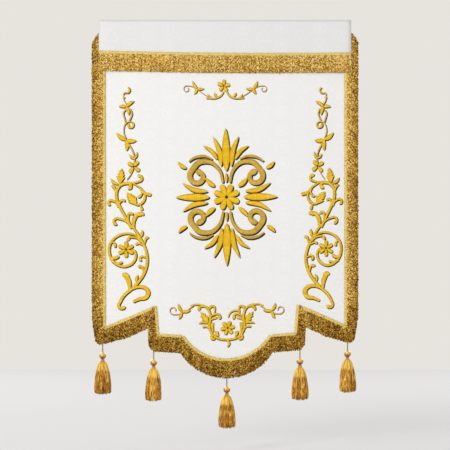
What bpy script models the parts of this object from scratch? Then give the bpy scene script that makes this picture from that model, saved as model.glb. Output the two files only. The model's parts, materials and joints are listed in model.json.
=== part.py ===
"""Church banner: white damask cloth, pole sleeve, gold bullion fringe and five tassels.

Metres, +Z up. The front faces -Y and +X is the viewer's right. The origin is the middle of the
fold at the top of the pole sleeve.
"""

import math
from collections import namedtuple

import bmesh
import bpy
from mathutils import Vector
from mathutils.geometry import intersect_line_line

# Cloth panel
CLOTH_HALF = 0.350
CLOTH_THICK = 0.002
CLOTH_TOP = -0.028
CLOTH_Y = -0.0055
HEM_MARGIN = 0.0167
CLOTH_ROWS = 10
CLOTH_COLUMN = 0.020
NOTCH_TOP_ROW = -0.790

# Pole sleeve
SLEEVE_THICK = 0.0015
SLEEVE_DEPTH = 0.016
SLEEVE_DROP = 0.105
SLEEVE_FOLD = 0.009
SLEEVE_FOLD_STEPS = 6
SLEEVE_SEAM_TOP = 0.096
SLEEVE_POCKET_END = 0.078
SLEEVE_BULGE = 0.0041
SLEEVE_BULGE_FROM = 0.250
SLEEVE_BULGE_TO = 0.325
SLEEVE_COLUMNS = (0.0, 0.125, SLEEVE_BULGE_FROM, SLEEVE_BULGE_TO, CLOTH_HALF)

# Fringe
HEADING_WIDTH = 0.0072
HEADING_THICK = 0.0034
HEADING_GAP = 0.0004
LOCK_SHARE = 0.72
FAN_LENGTH = 0.060
PITCH_COUNT_TOP = 45
PITCH_COUNT_BOTTOM = 18
TOP_FRINGE_HALF = 0.3486
TOP_FRINGE_Z = -0.0907
TOP_FRINGE_SAG = 0.0035
TOP_FRINGE_SLANT = 0.0026
LOCK_LONG = 0.0455

# How the cloth hangs: a soft ripple, one side a little lower and the middle a little to one side
RIPPLE = 0.003
RIPPLE_LENGTH = 0.42
RIPPLE_PHASE = 0.9
SLANT_OF_HEM = 0.0028
SHIFT_OF_HEM = 0.0050
HANG_FROM = -0.110
HANG_TO = -0.600
SHIFT_INSIDE = 0.240

# Tassels
CORD_RADIUS = 0.0015
CORD_SET_BACK = 0.0006
BEAD_RADIUS = 0.0096
TOUCH_GAP = 0.0003
SKIRT_STRANDS = 14
SKIRT_NECK_RADIUS = 0.0047
SKIRT_NECK = 0.006
STRAND_DEPTH = 0.0052
STRAND_RIM = 0.0004

# The inner edge of the fringe's heading on the right half, from the outer corner to the middle
EdgePoint = namedtuple("EdgePoint", "name x z")
EDGE = (
    EdgePoint("side_top", 0.3333, -0.0280),
    EdgePoint("corner", 0.3333, -0.8514),
    EdgePoint("notch", 0.1958, -0.7925),
    EdgePoint("step_outer", 0.1897, -0.8714),
    EdgePoint("step_inner", 0.1200, -0.8761),
    EdgePoint("bottom", 0.0, -0.9417),
)
AT = {p.name: Vector((p.x, 0, p.z)) for p in EDGE}

# Lean is how far a lock runs out to the side for each metre that it drops
Run = namedtuple(
    "Run",
    "name start end trim_start trim_end locks bare_start bare_end "
    "lean_start lean_middle lean_end long_start long_middle long_end",
)
RUNS = (
    Run("side", "side_top", "corner", 0.0, 0.001, 53, 0, 0, 0.77, 0.77, 0.34, 0.046, 0.046, 0.046),
    Run("slant", "corner", "notch", 0.001, 0.0125, 9, 0, 1, 0.30, 0.0, 0.0, 0.046, 0.046, 0.043),
    Run("notch", "notch", "step_outer", 0.0, 0.001, 5, 1, 0, 0.77, 0.77, 0.60, 0.025, 0.030, 0.036),
    Run("step", "step_outer", "step_inner", 0.001, 0.0065, 4, 0, 0, 0.28, 0.0, 0.0, 0.041, 0.041, 0.041),
)

# Sections of a lock and of a tassel
LockSection = namedtuple("LockSection", "share lean_factor width depth")
LOCK_SECTIONS = (
    LockSection(0.50, 1.45, 1.00, 1.15),
    LockSection(1.00, 1.00, 0.66, 0.75),
)
HeadSection = namedtuple("HeadSection", "drop radius")
HEAD_SECTIONS = (
    HeadSection(0.008, 0.0052),
    HeadSection(0.014, 0.0125),
)
StrandSection = namedtuple("StrandSection", "drop radius width")
STRAND_SECTIONS = (
    StrandSection(0.031, 0.0150, 1.25),
    StrandSection(0.062, 0.0203, 1.65),
    StrandSection(0.097, 0.0195, 1.50),
)
Tassel = namedtuple("Tassel", "x bead_z")
TASSELS = (
    Tassel(-0.3397, -0.9294),
    Tassel(-0.2028, -0.9492),
    Tassel(0.0, -1.0258),
    Tassel(0.2028, -0.9492),
    Tassel(0.3397, -0.9294),
)

Finish = namedtuple("Finish", "colour roughness metallic")
FINISHES = {
    "white_damask": Finish((0.86, 0.85, 0.83), 0.70, 0.0),
    "gold_fringe": Finish((0.55, 0.36, 0.10), 0.55, 0.3),
    "tassel_gold": Finish((0.68, 0.38, 0.07), 0.50, 0.2),
    "bead_gold": Finish((0.80, 0.50, 0.14), 0.25, 0.9),
    "cord_gold": Finish((0.42, 0.33, 0.14), 0.65, 0.1),
}


def clear_scene():
    for obj in list(bpy.data.objects):
        bpy.data.objects.remove(obj)


def finish(name):
    found = bpy.data.materials.get(name)
    if found:
        return found
    values = FINISHES[name]
    made = bpy.data.materials.new(name)
    made.use_nodes = True
    shader = made.node_tree.nodes["Principled BSDF"]
    shader.inputs["Base Color"].default_value = (*values.colour, 1)
    shader.inputs["Roughness"].default_value = values.roughness
    shader.inputs["Metallic"].default_value = values.metallic
    made.diffuse_color = (*values.colour, 1)
    return made


def add_object(name, bm, finish_name):
    bmesh.ops.recalc_face_normals(bm, faces=bm.faces[:])
    mesh = bpy.data.meshes.new(name)
    bm.to_mesh(mesh)
    bm.free()
    mesh.materials.append(finish(finish_name))
    obj = bpy.data.objects.new(name, mesh)
    bpy.context.collection.objects.link(obj)
    return obj


def thicken(obj, thickness):
    solidify = obj.modifiers.new("Thickness", "SOLIDIFY")
    solidify.thickness = thickness
    solidify.offset = 0
    solidify.use_even_offset = True


def smooth_step(low, high, value):
    share = min(1, max(0, (value - low) / (high - low)))
    return share * share * (3 - 2 * share)


def hung(point):
    """Where a point of the flat pattern comes to lie on the hanging cloth."""
    low = 1 - smooth_step(HANG_TO, HANG_FROM, point.z)
    middle = 1 - smooth_step(SHIFT_INSIDE, CLOTH_HALF, abs(point.x))
    ripple = math.sin(2 * math.pi * point.x / RIPPLE_LENGTH + RIPPLE_PHASE)
    shift = Vector((SHIFT_OF_HEM * middle, RIPPLE * ripple, SLANT_OF_HEM * point.x / CLOTH_HALF))
    return point + shift * low


def hang(bm):
    for vert in bm.verts:
        vert.co = hung(vert.co)


# Outline of the cloth

def arc_radius(chord, rise):
    return (chord * chord / 4 + rise * rise) / (2 * rise)


def outward(start, end):
    along = (end - start).normalized()
    return Vector((-along.z, 0, along.x))


def hem_line(start, end):
    move = outward(AT[start], AT[end]) * HEM_MARGIN
    return AT[start] + move, AT[end] + move


def hem_corner(before, corner, after):
    return intersect_line_line(*hem_line(before, corner), *hem_line(corner, after))[0]


def height_on(line, x):
    start, end = line
    return start.z + (end.z - start.z) * (x - start.x) / (end.x - start.x)


HEM_CORNER = hem_corner("side_top", "corner", "notch")
HEM_NOTCH = hem_corner("corner", "notch", "step_outer")
HEM_STEP = hem_corner("notch", "step_outer", "step_inner")
ARC_RISE = AT["step_inner"].z - AT["bottom"].z
ARC_RADIUS = arc_radius(2 * AT["step_inner"].x, ARC_RISE)
ARC_CENTRE_Z = AT["bottom"].z + ARC_RADIUS
HEM_RADIUS = ARC_RADIUS + HEM_MARGIN
HEM_ARC_HALF = math.sqrt(HEM_RADIUS**2 - (ARC_CENTRE_Z - HEM_STEP.z) ** 2)


def hem_height(x):
    """Height of the cloth's lower edge at x."""
    x = abs(x)
    if x >= HEM_NOTCH.x:
        return height_on((HEM_CORNER, HEM_NOTCH), x)
    if x >= HEM_STEP.x:
        return height_on((HEM_STEP, HEM_NOTCH), x)
    step = height_on(hem_line("step_outer", "step_inner"), x)
    if x >= HEM_RADIUS:
        return step
    return min(step, ARC_CENTRE_Z - math.sqrt(HEM_RADIUS**2 - x * x))


def evenly(low, high, spacing):
    count = max(1, round((high - low) / spacing))
    return [low + (high - low) * i / count for i in range(count)]


def cloth_columns():
    stops = (0.0, HEM_ARC_HALF, HEM_STEP.x, HEM_NOTCH.x, CLOTH_HALF)
    right = [x for low, high in zip(stops, stops[1:]) for x in evenly(low, high, CLOTH_COLUMN)]
    right.append(CLOTH_HALF)
    return [-x for x in reversed(right[1:])] + right


def mapped_grid(columns, rows, place):
    """A grid of faces whose vertex in each column and row lies where place puts it."""
    bm = bmesh.new()
    bmesh.ops.create_grid(bm, x_segments=columns - 1, y_segments=rows - 1, size=0.5)
    for vert in bm.verts:
        column = round((vert.co.x + 0.5) * (columns - 1))
        row = round((vert.co.y + 0.5) * (rows - 1))
        vert.co = place(column, row)
    return bm


def build_panel():
    columns = cloth_columns()
    rows = evenly(CLOTH_TOP, NOTCH_TOP_ROW, (NOTCH_TOP_ROW - CLOTH_TOP) / (CLOTH_ROWS - 1))
    rows.append(NOTCH_TOP_ROW)

    def place(column, row):
        x = columns[column]
        z = rows[row] if row < len(rows) else hem_height(x)
        return hung(Vector((x, CLOTH_Y, z)))

    bm = mapped_grid(len(columns), len(rows) + 1, place)
    thicken(add_object("panel", bm, "white_damask"), CLOTH_THICK)


# Pole sleeve

def sleeve_bulge(x):
    share = (abs(x) - SLEEVE_BULGE_FROM) / (SLEEVE_BULGE_TO - SLEEVE_BULGE_FROM)
    return SLEEVE_BULGE * min(1, max(0, share))


def sleeve_front(x):
    return -SLEEVE_DEPTH / 2 - sleeve_bulge(x)


def sleeve_section(x):
    """Middle line of the folded strip, from the front's lower edge over the fold to the back's."""
    front = sleeve_front(x)
    back = SLEEVE_DEPTH / 2
    seam = CLOTH_Y + CLOTH_THICK / 2 + HEADING_GAP + SLEEVE_THICK / 2
    top = -SLEEVE_THICK / 2
    section = [(front, -SLEEVE_DROP), (front, -SLEEVE_DROP / 2)]
    for i in range(SLEEVE_FOLD_STEPS + 1):
        turn = math.pi * i / SLEEVE_FOLD_STEPS
        y = (front + back) / 2 - math.cos(turn) * (back - front) / 2
        section.append((y, top - SLEEVE_FOLD * (1 - math.sin(turn))))
    section += [(back, -SLEEVE_DROP / 2), (back, -SLEEVE_POCKET_END)]
    section += [(seam, -SLEEVE_SEAM_TOP), (seam, -SLEEVE_DROP)]
    return section


def build_sleeve():
    columns = [-x for x in reversed(SLEEVE_COLUMNS[1:])] + list(SLEEVE_COLUMNS)

    def place(column, row):
        x = columns[column]
        return Vector((x, *sleeve_section(x)[row]))

    bm = mapped_grid(len(columns), len(sleeve_section(0)), place)
    thicken(add_object("pole_sleeve", bm, "white_damask"), SLEEVE_THICK)


# Fringe

def cloth_front(x):
    return CLOTH_Y - CLOTH_THICK / 2 - HEADING_GAP


def sleeve_face(x):
    return sleeve_front(x) - SLEEVE_THICK / 2 - HEADING_GAP


def path_point(start, end, bow, share):
    """Point and outward direction on a straight line, or on an arc that bows out by bow."""
    out = outward(start, end)
    if not bow:
        return start.lerp(end, share), out
    along = (end - start).normalized()
    chord = (end - start).length
    radius = arc_radius(chord, bow)
    turn = (2 * share - 1) * math.asin(chord / 2 / radius)
    away = along * math.sin(turn) + out * math.cos(turn)
    centre = (start + end) / 2 - out * (radius - bow)
    return centre + away * radius, away


def eased(distance, length, start, middle, end):
    """A value that holds along the run and changes near its two ends."""
    near_start = max(0, 1 - distance / FAN_LENGTH)
    near_end = max(0, 1 - (length - distance) / FAN_LENGTH)
    return middle + (start - middle) * near_start + (end - middle) * near_end


def draw_out_lock(bm, root, along, lean, long):
    """Extrudes one lock from its root on the heading."""
    middle = root.calc_center_median()
    corners = [vert.co - middle for vert in root.verts]
    face = root
    for section in LOCK_SECTIONS:
        drop = Vector((lean * section.lean_factor, 0, -1)).normalized()
        centre = middle + drop * long * section.share
        centre.y -= max(0, section.depth - 1) * HEADING_THICK / 2
        face = bmesh.ops.extrude_discrete_faces(bm, faces=[face])["faces"][0]
        for vert, corner in zip(face.verts, corners):
            side = along * corner.dot(along) * section.width
            vert.co = centre + side + Vector((0, corner.y * section.depth, 0))


def fringe_mesh(start, end, bow, run, base):
    """A heading strip with its locks, in the flat pattern's place on the right half."""
    stations = [0.0]
    for i in range(run.locks):
        stations += [(i + (1 - LOCK_SHARE) / 2) / run.locks, (i + (1 + LOCK_SHARE) / 2) / run.locks]
    stations.append(1.0)

    bm = mapped_grid(len(stations), 2, lambda column, row: Vector((column, row, 0)))
    lifted = bmesh.ops.extrude_face_region(bm, geom=bm.faces[:], use_keep_orig=True)
    for item in lifted["geom"]:
        if isinstance(item, bmesh.types.BMVert):
            item.co.z = 1
    outer = [f for f in bm.faces if all(v.co.y > 0.5 for v in f.verts)]
    outer.sort(key=lambda f: f.calc_center_median().x)
    roots = outer[1::2]
    places = [path_point(start, end, bow, share) for share in stations]
    for vert in bm.verts:
        point, out = places[round(vert.co.x)]
        spot = point + out * HEADING_WIDTH * vert.co.y
        spot.y = base(spot.x) - HEADING_THICK * vert.co.z
        vert.co = spot
    length = (end - start).length
    for i in range(run.bare_start, run.locks - run.bare_end):
        share = (i + 0.5) / run.locks
        out = path_point(start, end, bow, share)[1]
        along = Vector((-out.z, 0, out.x))
        lean = eased(share * length, length, run.lean_start, run.lean_middle, run.lean_end)
        long = eased(share * length, length, run.long_start, run.long_middle, run.long_end)
        draw_out_lock(bm, roots[i], along, lean, long)
    return bm


def straight_run(name, locks):
    """A run whose locks all hang straight down."""
    return Run(name, "", "", 0, 0, locks, 0, 0, 0, 0, 0, LOCK_LONG, LOCK_LONG, LOCK_LONG)


def build_edge_fringes():
    for run in RUNS:
        along = (AT[run.end] - AT[run.start]).normalized()
        start = AT[run.start] + along * run.trim_start
        end = AT[run.end] - along * run.trim_end
        for side, sign in (("left", -1), ("right", 1)):
            bm = fringe_mesh(start, end, 0, run, cloth_front)
            bmesh.ops.scale(bm, vec=(sign, 1, 1), verts=bm.verts[:])
            hang(bm)
            add_object(f"fringe_{run.name}_{side}", bm, "gold_fringe")


def build_bottom_fringe():
    right = AT["step_inner"]
    left = Vector((-right.x, 0, right.z))
    bm = fringe_mesh(right, left, ARC_RISE, straight_run("bottom", PITCH_COUNT_BOTTOM), cloth_front)
    hang(bm)
    add_object("fringe_bottom", bm, "gold_fringe")


def build_top_fringe():
    """The fringe on the sleeve, a little lower in the middle and at its right end."""
    right = Vector((TOP_FRINGE_HALF, 0, TOP_FRINGE_Z - TOP_FRINGE_SLANT))
    left = Vector((-TOP_FRINGE_HALF, 0, TOP_FRINGE_Z + TOP_FRINGE_SLANT))
    bm = fringe_mesh(right, left, TOP_FRINGE_SAG, straight_run("top", PITCH_COUNT_TOP), sleeve_face)
    add_object("fringe_top", bm, "gold_fringe")


# Tassels

def build_cord(name, top, bottom):
    curve = bpy.data.curves.new(name, "CURVE")
    curve.dimensions = "3D"
    curve.bevel_depth = CORD_RADIUS
    curve.bevel_resolution = 2
    curve.render_resolution_u = 0
    curve.use_fill_caps = True
    curve.materials.append(finish("cord_gold"))
    spline = curve.splines.new("POLY")
    spline.points.add(1)
    for point, place in zip(spline.points, (top, bottom)):
        point.co = (*place, 1)
    bpy.context.collection.objects.link(bpy.data.objects.new(name, curve))


def build_bead(name, centre):
    bm = bmesh.new()
    bmesh.ops.create_uvsphere(bm, u_segments=12, v_segments=8, radius=BEAD_RADIUS)
    bmesh.ops.translate(bm, vec=centre, verts=bm.verts[:])
    bead = add_object(name, bm, "bead_gold")
    bead.data.shade_smooth()


def draw_down(bm, face, drop, radius):
    """Extrudes a level round face to a new drop and radius."""
    face = bmesh.ops.extrude_discrete_faces(bm, faces=[face])["faces"][0]
    for vert in face.verts:
        flat = Vector((vert.co.x, vert.co.y, 0)).normalized() * radius
        vert.co = (flat.x, flat.y, -drop)
    return face


def draw_down_strand(bm, root):
    middle = root.calc_center_median()
    away = Vector((middle.x, middle.y, 0)).normalized()
    across = Vector((-away.y, away.x, 0))
    corners = [vert.co - middle for vert in root.verts]
    face = root
    for section in STRAND_SECTIONS:
        face = bmesh.ops.extrude_discrete_faces(bm, faces=[face])["faces"][0]
        centre = away * section.radius
        centre.z = -section.drop
        for vert, corner in zip(face.verts, corners):
            side = across * corner.dot(across) * section.width
            vert.co = centre + away * corner.dot(away) + side


def build_skirt(name, top):
    """A tassel's head with its strands, which stand apart below it."""
    bm = bmesh.new()
    bmesh.ops.create_cone(
        bm,
        cap_ends=True,
        segments=SKIRT_STRANDS,
        radius1=SKIRT_NECK_RADIUS,
        radius2=SKIRT_NECK_RADIUS,
        depth=SKIRT_NECK,
    )
    bmesh.ops.translate(bm, vec=(0, 0, -SKIRT_NECK / 2), verts=bm.verts[:])
    bm.faces.ensure_lookup_table()
    face = min(bm.faces, key=lambda f: f.calc_center_median().z)
    for section in HEAD_SECTIONS:
        face = draw_down(bm, face, section.drop, section.radius)
    ring = bmesh.ops.inset_individual(bm, faces=[face], thickness=STRAND_DEPTH)["faces"]
    bmesh.ops.inset_individual(bm, faces=ring, thickness=STRAND_RIM)
    for root in ring:
        draw_down_strand(bm, root)
    bmesh.ops.translate(bm, vec=top, verts=bm.verts[:])
    add_object(name, bm, "tassel_gold")


def build_tassels():
    for number, tassel in enumerate(TASSELS, 1):
        bead = hung(Vector((tassel.x, CLOTH_Y + CORD_SET_BACK, tassel.bead_z)))
        edge = hung(Vector((tassel.x, CLOTH_Y + CORD_SET_BACK, hem_height(tassel.x))))
        slope = abs(hem_height(tassel.x + CORD_RADIUS) - hem_height(tassel.x - CORD_RADIUS)) / 2
        cord_top = edge - Vector((0, 0, TOUCH_GAP + slope))
        cord_end = bead + Vector((0, 0, BEAD_RADIUS + TOUCH_GAP))
        build_cord(f"tassel_cord_{number}", cord_top, cord_end)
        build_bead(f"tassel_bead_{number}", bead)
        build_skirt(f"tassel_skirt_{number}", bead - Vector((0, 0, BEAD_RADIUS + TOUCH_GAP)))


def main():
    clear_scene()
    build_panel()
    build_sleeve()
    build_edge_fringes()
    build_bottom_fringe()
    build_top_fringe()
    build_tassels()


main()
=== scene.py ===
"""Church banner: the looks of its cloth, embroidery, fringe and tassels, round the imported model.

Metres, +Z up. The front faces -Y and +X is the viewer's right. The origin is the middle of the
fold at the top of the pole sleeve.
"""

import json
import math
import random
from collections import namedtuple

import bmesh
import bpy
import numpy as np
from mathutils import Matrix, Vector
from mathutils.geometry import intersect_line_line

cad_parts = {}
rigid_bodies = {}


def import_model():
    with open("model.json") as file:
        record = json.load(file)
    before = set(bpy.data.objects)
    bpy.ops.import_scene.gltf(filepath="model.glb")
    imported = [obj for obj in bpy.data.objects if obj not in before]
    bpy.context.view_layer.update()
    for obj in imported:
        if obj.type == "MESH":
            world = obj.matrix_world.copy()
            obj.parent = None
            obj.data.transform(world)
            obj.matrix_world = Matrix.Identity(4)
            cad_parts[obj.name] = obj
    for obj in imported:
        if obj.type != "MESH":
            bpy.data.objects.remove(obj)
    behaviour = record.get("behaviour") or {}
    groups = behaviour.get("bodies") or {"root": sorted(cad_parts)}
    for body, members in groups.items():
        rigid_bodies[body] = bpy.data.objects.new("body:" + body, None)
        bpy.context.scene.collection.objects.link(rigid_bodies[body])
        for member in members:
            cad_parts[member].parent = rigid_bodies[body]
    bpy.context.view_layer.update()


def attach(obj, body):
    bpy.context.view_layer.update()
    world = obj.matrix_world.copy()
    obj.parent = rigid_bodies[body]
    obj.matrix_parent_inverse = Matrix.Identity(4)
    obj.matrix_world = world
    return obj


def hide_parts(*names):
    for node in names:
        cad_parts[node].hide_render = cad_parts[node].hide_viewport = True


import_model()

bl_info = {
    "name": "Church Banner",
    "version": (1, 0, 0),
    "blender": (4, 5, 0),
    "location": "3D View > Sidebar > Banner",
    "description": "Makes a fringed and embroidered church banner",
    "category": "Add Mesh",
}

QUARTER_TURN = Matrix.Rotation(math.pi / 2, 3, "X")

# Cloth panel
CLOTH_HALF = 0.350
CLOTH_THICK = 0.002
CLOTH_TOP = -0.028
CLOTH_Y = -0.0055
CLOTH_FRONT = CLOTH_Y - CLOTH_THICK / 2
CLOTH_BACK = CLOTH_Y + CLOTH_THICK / 2
HEM_MARGIN = 0.0167

# Pole sleeve
SLEEVE_THICK = 0.0015
SLEEVE_DEPTH = 0.016
SLEEVE_DROP = 0.105
SLEEVE_FOLD = 0.009
SLEEVE_FOLD_STEPS = 14
SLEEVE_SEAM_TOP = 0.096
SLEEVE_POCKET_END = 0.078
SLEEVE_BULGE = 0.0041
SLEEVE_BULGE_FROM = 0.250
SLEEVE_BULGE_TO = 0.325

# How the cloth hangs: a soft ripple, one side a little lower and the middle a little to one side
RIPPLE = 0.003
RIPPLE_LENGTH = 0.42
RIPPLE_PHASE = 0.9
SLANT_OF_HEM = 0.0028
SHIFT_OF_HEM = 0.0050
HANG_FROM = -0.110
HANG_TO = -0.600
SHIFT_INSIDE = 0.240

# Fringe
HEADING_WIDTH = 0.0072
HEADING_THICK = 0.0034
HEADING_GAP = 0.0004
FAN_LENGTH = 0.060
TOP_FRINGE_HALF = 0.3486
TOP_FRINGE_Z = -0.0907
TOP_FRINGE_SAG = 0.0035
TOP_FRINGE_SLANT = 0.0026
LOCK_LONG = 0.0455
LEAN_AT_HALF = 1.45

# Tassels
CORD_SET_BACK = 0.0006
BEAD_RADIUS = 0.0096
TOUCH_GAP = 0.0003

# The inner edge of the fringe's heading on the right half, from the outer corner to the middle
EdgePoint = namedtuple("EdgePoint", "name x z")
EDGE = (
    EdgePoint("side_top", 0.3333, -0.0280),
    EdgePoint("corner", 0.3333, -0.8514),
    EdgePoint("notch", 0.1958, -0.7925),
    EdgePoint("step_outer", 0.1897, -0.8714),
    EdgePoint("step_inner", 0.1200, -0.8761),
    EdgePoint("bottom", 0.0, -0.9417),
)
AT = {p.name: Vector((p.x, 0, p.z)) for p in EDGE}

# Lean is how far a thread runs out to the side for each metre that it drops
Run = namedtuple(
    "Run",
    "name start end trim_start trim_end "
    "lean_start lean_middle lean_end long_start long_middle long_end",
)
RUNS = (
    Run("side", "side_top", "corner", 0.0, 0.001, 0.77, 0.77, 0.54, 0.046, 0.046, 0.040),
    Run("slant", "corner", "notch", 0.001, 0.0125, 0.26, 0.0, 0.0, 0.042, 0.046, 0.043),
    Run("notch", "notch", "step_outer", 0.0, 0.001, 0.77, 0.77, 0.60, 0.025, 0.030, 0.036),
    Run("step", "step_outer", "step_inner", 0.001, 0.0065, 0.28, 0.0, 0.0, 0.041, 0.041, 0.041),
)

Tassel = namedtuple("Tassel", "x bead_z")
TASSELS = (
    Tassel(-0.3397, -0.9294),
    Tassel(-0.2028, -0.9492),
    Tassel(0.0, -1.0258),
    Tassel(0.2028, -0.9492),
    Tassel(0.3397, -0.9294),
)


# Where things lie

def smooth_step(low, high, value):
    share = min(1, max(0, (value - low) / (high - low)))
    return share * share * (3 - 2 * share)


def hung(point):
    """Where a point of the flat pattern comes to lie on the hanging cloth."""
    low = 1 - smooth_step(HANG_TO, HANG_FROM, point.z)
    middle = 1 - smooth_step(SHIFT_INSIDE, CLOTH_HALF, abs(point.x))
    ripple = math.sin(2 * math.pi * point.x / RIPPLE_LENGTH + RIPPLE_PHASE)
    shift = Vector((SHIFT_OF_HEM * middle, RIPPLE * ripple, SLANT_OF_HEM * point.x / CLOTH_HALF))
    return point + shift * low


def smooth_steps(low, high, values):
    share = np.clip((values - low) / (high - low), 0, 1)
    return share * share * (3 - 2 * share)


def hung_points(points):
    """The same as hung, for an array whose last axis is x, y, z."""
    x, z = points[..., 0], points[..., 2]
    low = 1 - smooth_steps(HANG_TO, HANG_FROM, z)
    middle = 1 - smooth_steps(SHIFT_INSIDE, CLOTH_HALF, np.abs(x))
    ripple = np.sin(2 * np.pi * x / RIPPLE_LENGTH + RIPPLE_PHASE)
    moved = points.copy()
    moved[..., 0] += SHIFT_OF_HEM * middle * low
    moved[..., 1] += RIPPLE * ripple * low
    moved[..., 2] += SLANT_OF_HEM * x / CLOTH_HALF * low
    return moved


def arc_radius(chord, rise):
    return (chord * chord / 4 + rise * rise) / (2 * rise)


def outward(start, end):
    along = (end - start).normalized()
    return Vector((-along.z, 0, along.x))


def hem_line(start, end):
    move = outward(AT[start], AT[end]) * HEM_MARGIN
    return AT[start] + move, AT[end] + move


def hem_corner(before, corner, after):
    return intersect_line_line(*hem_line(before, corner), *hem_line(corner, after))[0]


def height_on(line, x):
    start, end = line
    return start.z + (end.z - start.z) * (x - start.x) / (end.x - start.x)


HEM_CORNER = hem_corner("side_top", "corner", "notch")
HEM_NOTCH = hem_corner("corner", "notch", "step_outer")
HEM_STEP = hem_corner("notch", "step_outer", "step_inner")
ARC_RISE = AT["step_inner"].z - AT["bottom"].z
ARC_RADIUS = arc_radius(2 * AT["step_inner"].x, ARC_RISE)
ARC_CENTRE_Z = AT["bottom"].z + ARC_RADIUS
HEM_RADIUS = ARC_RADIUS + HEM_MARGIN
HEM_ARC_HALF = math.sqrt(HEM_RADIUS**2 - (ARC_CENTRE_Z - HEM_STEP.z) ** 2)


def hem_height(x):
    """Height of the cloth's lower edge at x."""
    x = abs(x)
    if x >= HEM_NOTCH.x:
        return height_on((HEM_CORNER, HEM_NOTCH), x)
    if x >= HEM_STEP.x:
        return height_on((HEM_STEP, HEM_NOTCH), x)
    step = height_on(hem_line("step_outer", "step_inner"), x)
    if x >= HEM_RADIUS:
        return step
    return min(step, ARC_CENTRE_Z - math.sqrt(HEM_RADIUS**2 - x * x))


def sleeve_front(x):
    share = (abs(x) - SLEEVE_BULGE_FROM) / (SLEEVE_BULGE_TO - SLEEVE_BULGE_FROM)
    return -SLEEVE_DEPTH / 2 - SLEEVE_BULGE * min(1, max(0, share))


def path_point(start, end, bow, share):
    """Point and outward direction on a straight line, or on an arc that bows out by bow."""
    out = outward(start, end)
    if not bow:
        return start.lerp(end, share), out
    along = (end - start).normalized()
    chord = (end - start).length
    radius = arc_radius(chord, bow)
    turn = (2 * share - 1) * math.asin(chord / 2 / radius)
    away = along * math.sin(turn) + out * math.cos(turn)
    centre = (start + end) / 2 - out * (radius - bow)
    return centre + away * radius, away


def eased(distance, length, start, middle, end):
    """A value that holds along the run and changes near its two ends."""
    near_start = max(0, 1 - distance / FAN_LENGTH)
    near_end = max(0, 1 - (length - distance) / FAN_LENGTH)
    return middle + (start - middle) * near_start + (end - middle) * near_end


# Settings that a user would change

class ClothSettings(bpy.types.PropertyGroup):
    weave_column: bpy.props.FloatProperty(
        name="Cloth column", description="Width of one column of the cloth's mesh",
        default=0.007, unit="LENGTH",
    )
    weave_row: bpy.props.FloatProperty(
        name="Cloth row", description="Height of one row of the cloth's mesh",
        default=0.009, unit="LENGTH",
    )
    colour: bpy.props.FloatVectorProperty(
        name="Cloth", description="Colour of the damask's ground",
        default=(0.795, 0.787, 0.762), subtype="COLOR", size=3,
    )
    # The figure's lighter colour is a painted sheen
    figure_sheen_colour: bpy.props.FloatVectorProperty(
        name="Damask figure", description="Colour of the woven pattern where it shines",
        default=(0.823, 0.815, 0.792), subtype="COLOR", size=3,
    )


class FringeSettings(bpy.types.PropertyGroup):
    pitch: bpy.props.FloatProperty(
        name="Thread pitch", description="Distance from one thread to the next in a layer",
        default=0.0029, unit="LENGTH",
    )
    radius: bpy.props.FloatProperty(
        name="Thread radius", description="Half of a thread's thickness",
        default=0.00155, unit="LENGTH",
    )
    curl: bpy.props.FloatProperty(
        name="Curl", description="How far a thread's curls stand off its own line",
        default=0.0016, unit="LENGTH",
    )
    dark: bpy.props.FloatVectorProperty(
        name="Dark gold", description="Gold thread in its shaded turns",
        default=(0.062, 0.026, 0.003), subtype="COLOR", size=3,
    )
    middle: bpy.props.FloatVectorProperty(
        name="Gold", description="Gold thread",
        default=(0.43, 0.205, 0.014), subtype="COLOR", size=3,
    )
    light: bpy.props.FloatVectorProperty(
        name="Light gold", description="Gold thread where it shines",
        default=(0.95, 0.64, 0.13), subtype="COLOR", size=3,
    )
    heading: bpy.props.FloatVectorProperty(
        name="Heading", description="Woven braid that holds the threads",
        default=(0.83, 0.66, 0.20), subtype="COLOR", size=3,
    )


class TasselSettings(bpy.types.PropertyGroup):
    threads: bpy.props.IntProperty(
        name="Threads", description="Threads in the outer layer of one tassel",
        default=92, min=12,
    )
    colour: bpy.props.FloatVectorProperty(
        name="Tassel", description="Silky yarn of the tassels",
        default=(0.53, 0.218, 0.013), subtype="COLOR", size=3,
    )
    bead: bpy.props.FloatVectorProperty(
        name="Bead", description="Polished gold beads",
        default=(0.66, 0.36, 0.11), subtype="COLOR", size=3,
    )
    cord: bpy.props.FloatVectorProperty(
        name="Cord", description="Twisted cords that carry the tassels",
        default=(0.36, 0.26, 0.075), subtype="COLOR", size=3,
    )


class EmbroiderySettings(bpy.types.PropertyGroup):
    height: bpy.props.FloatProperty(
        name="Padding", description="How far the widest satin stitch stands off the cloth",
        default=0.0022, unit="LENGTH",
    )
    gold: bpy.props.FloatVectorProperty(
        name="Satin gold", description="Satin stitch",
        default=(0.86, 0.52, 0.010), subtype="COLOR", size=3,
    )
    antique: bpy.props.FloatVectorProperty(
        name="Antique gold", description="Satin stitch of the ornament's scrolls",
        default=(0.60, 0.385, 0.045), subtype="COLOR", size=3,
    )
    copper: bpy.props.FloatVectorProperty(
        name="Stem", description="Stem stitch of the thin stems",
        default=(0.72, 0.42, 0.085), subtype="COLOR", size=3,
    )
    # Dark thread of the outlines and the flowers' hearts, and also the painted shadow under the strokes' lower
    # right edges
    dark_thread_and_shadow: bpy.props.FloatVectorProperty(
        name="Edging", description="Dark stitches under the lower right edges",
        default=(0.022, 0.018, 0.008), subtype="COLOR", size=3,
    )


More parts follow.
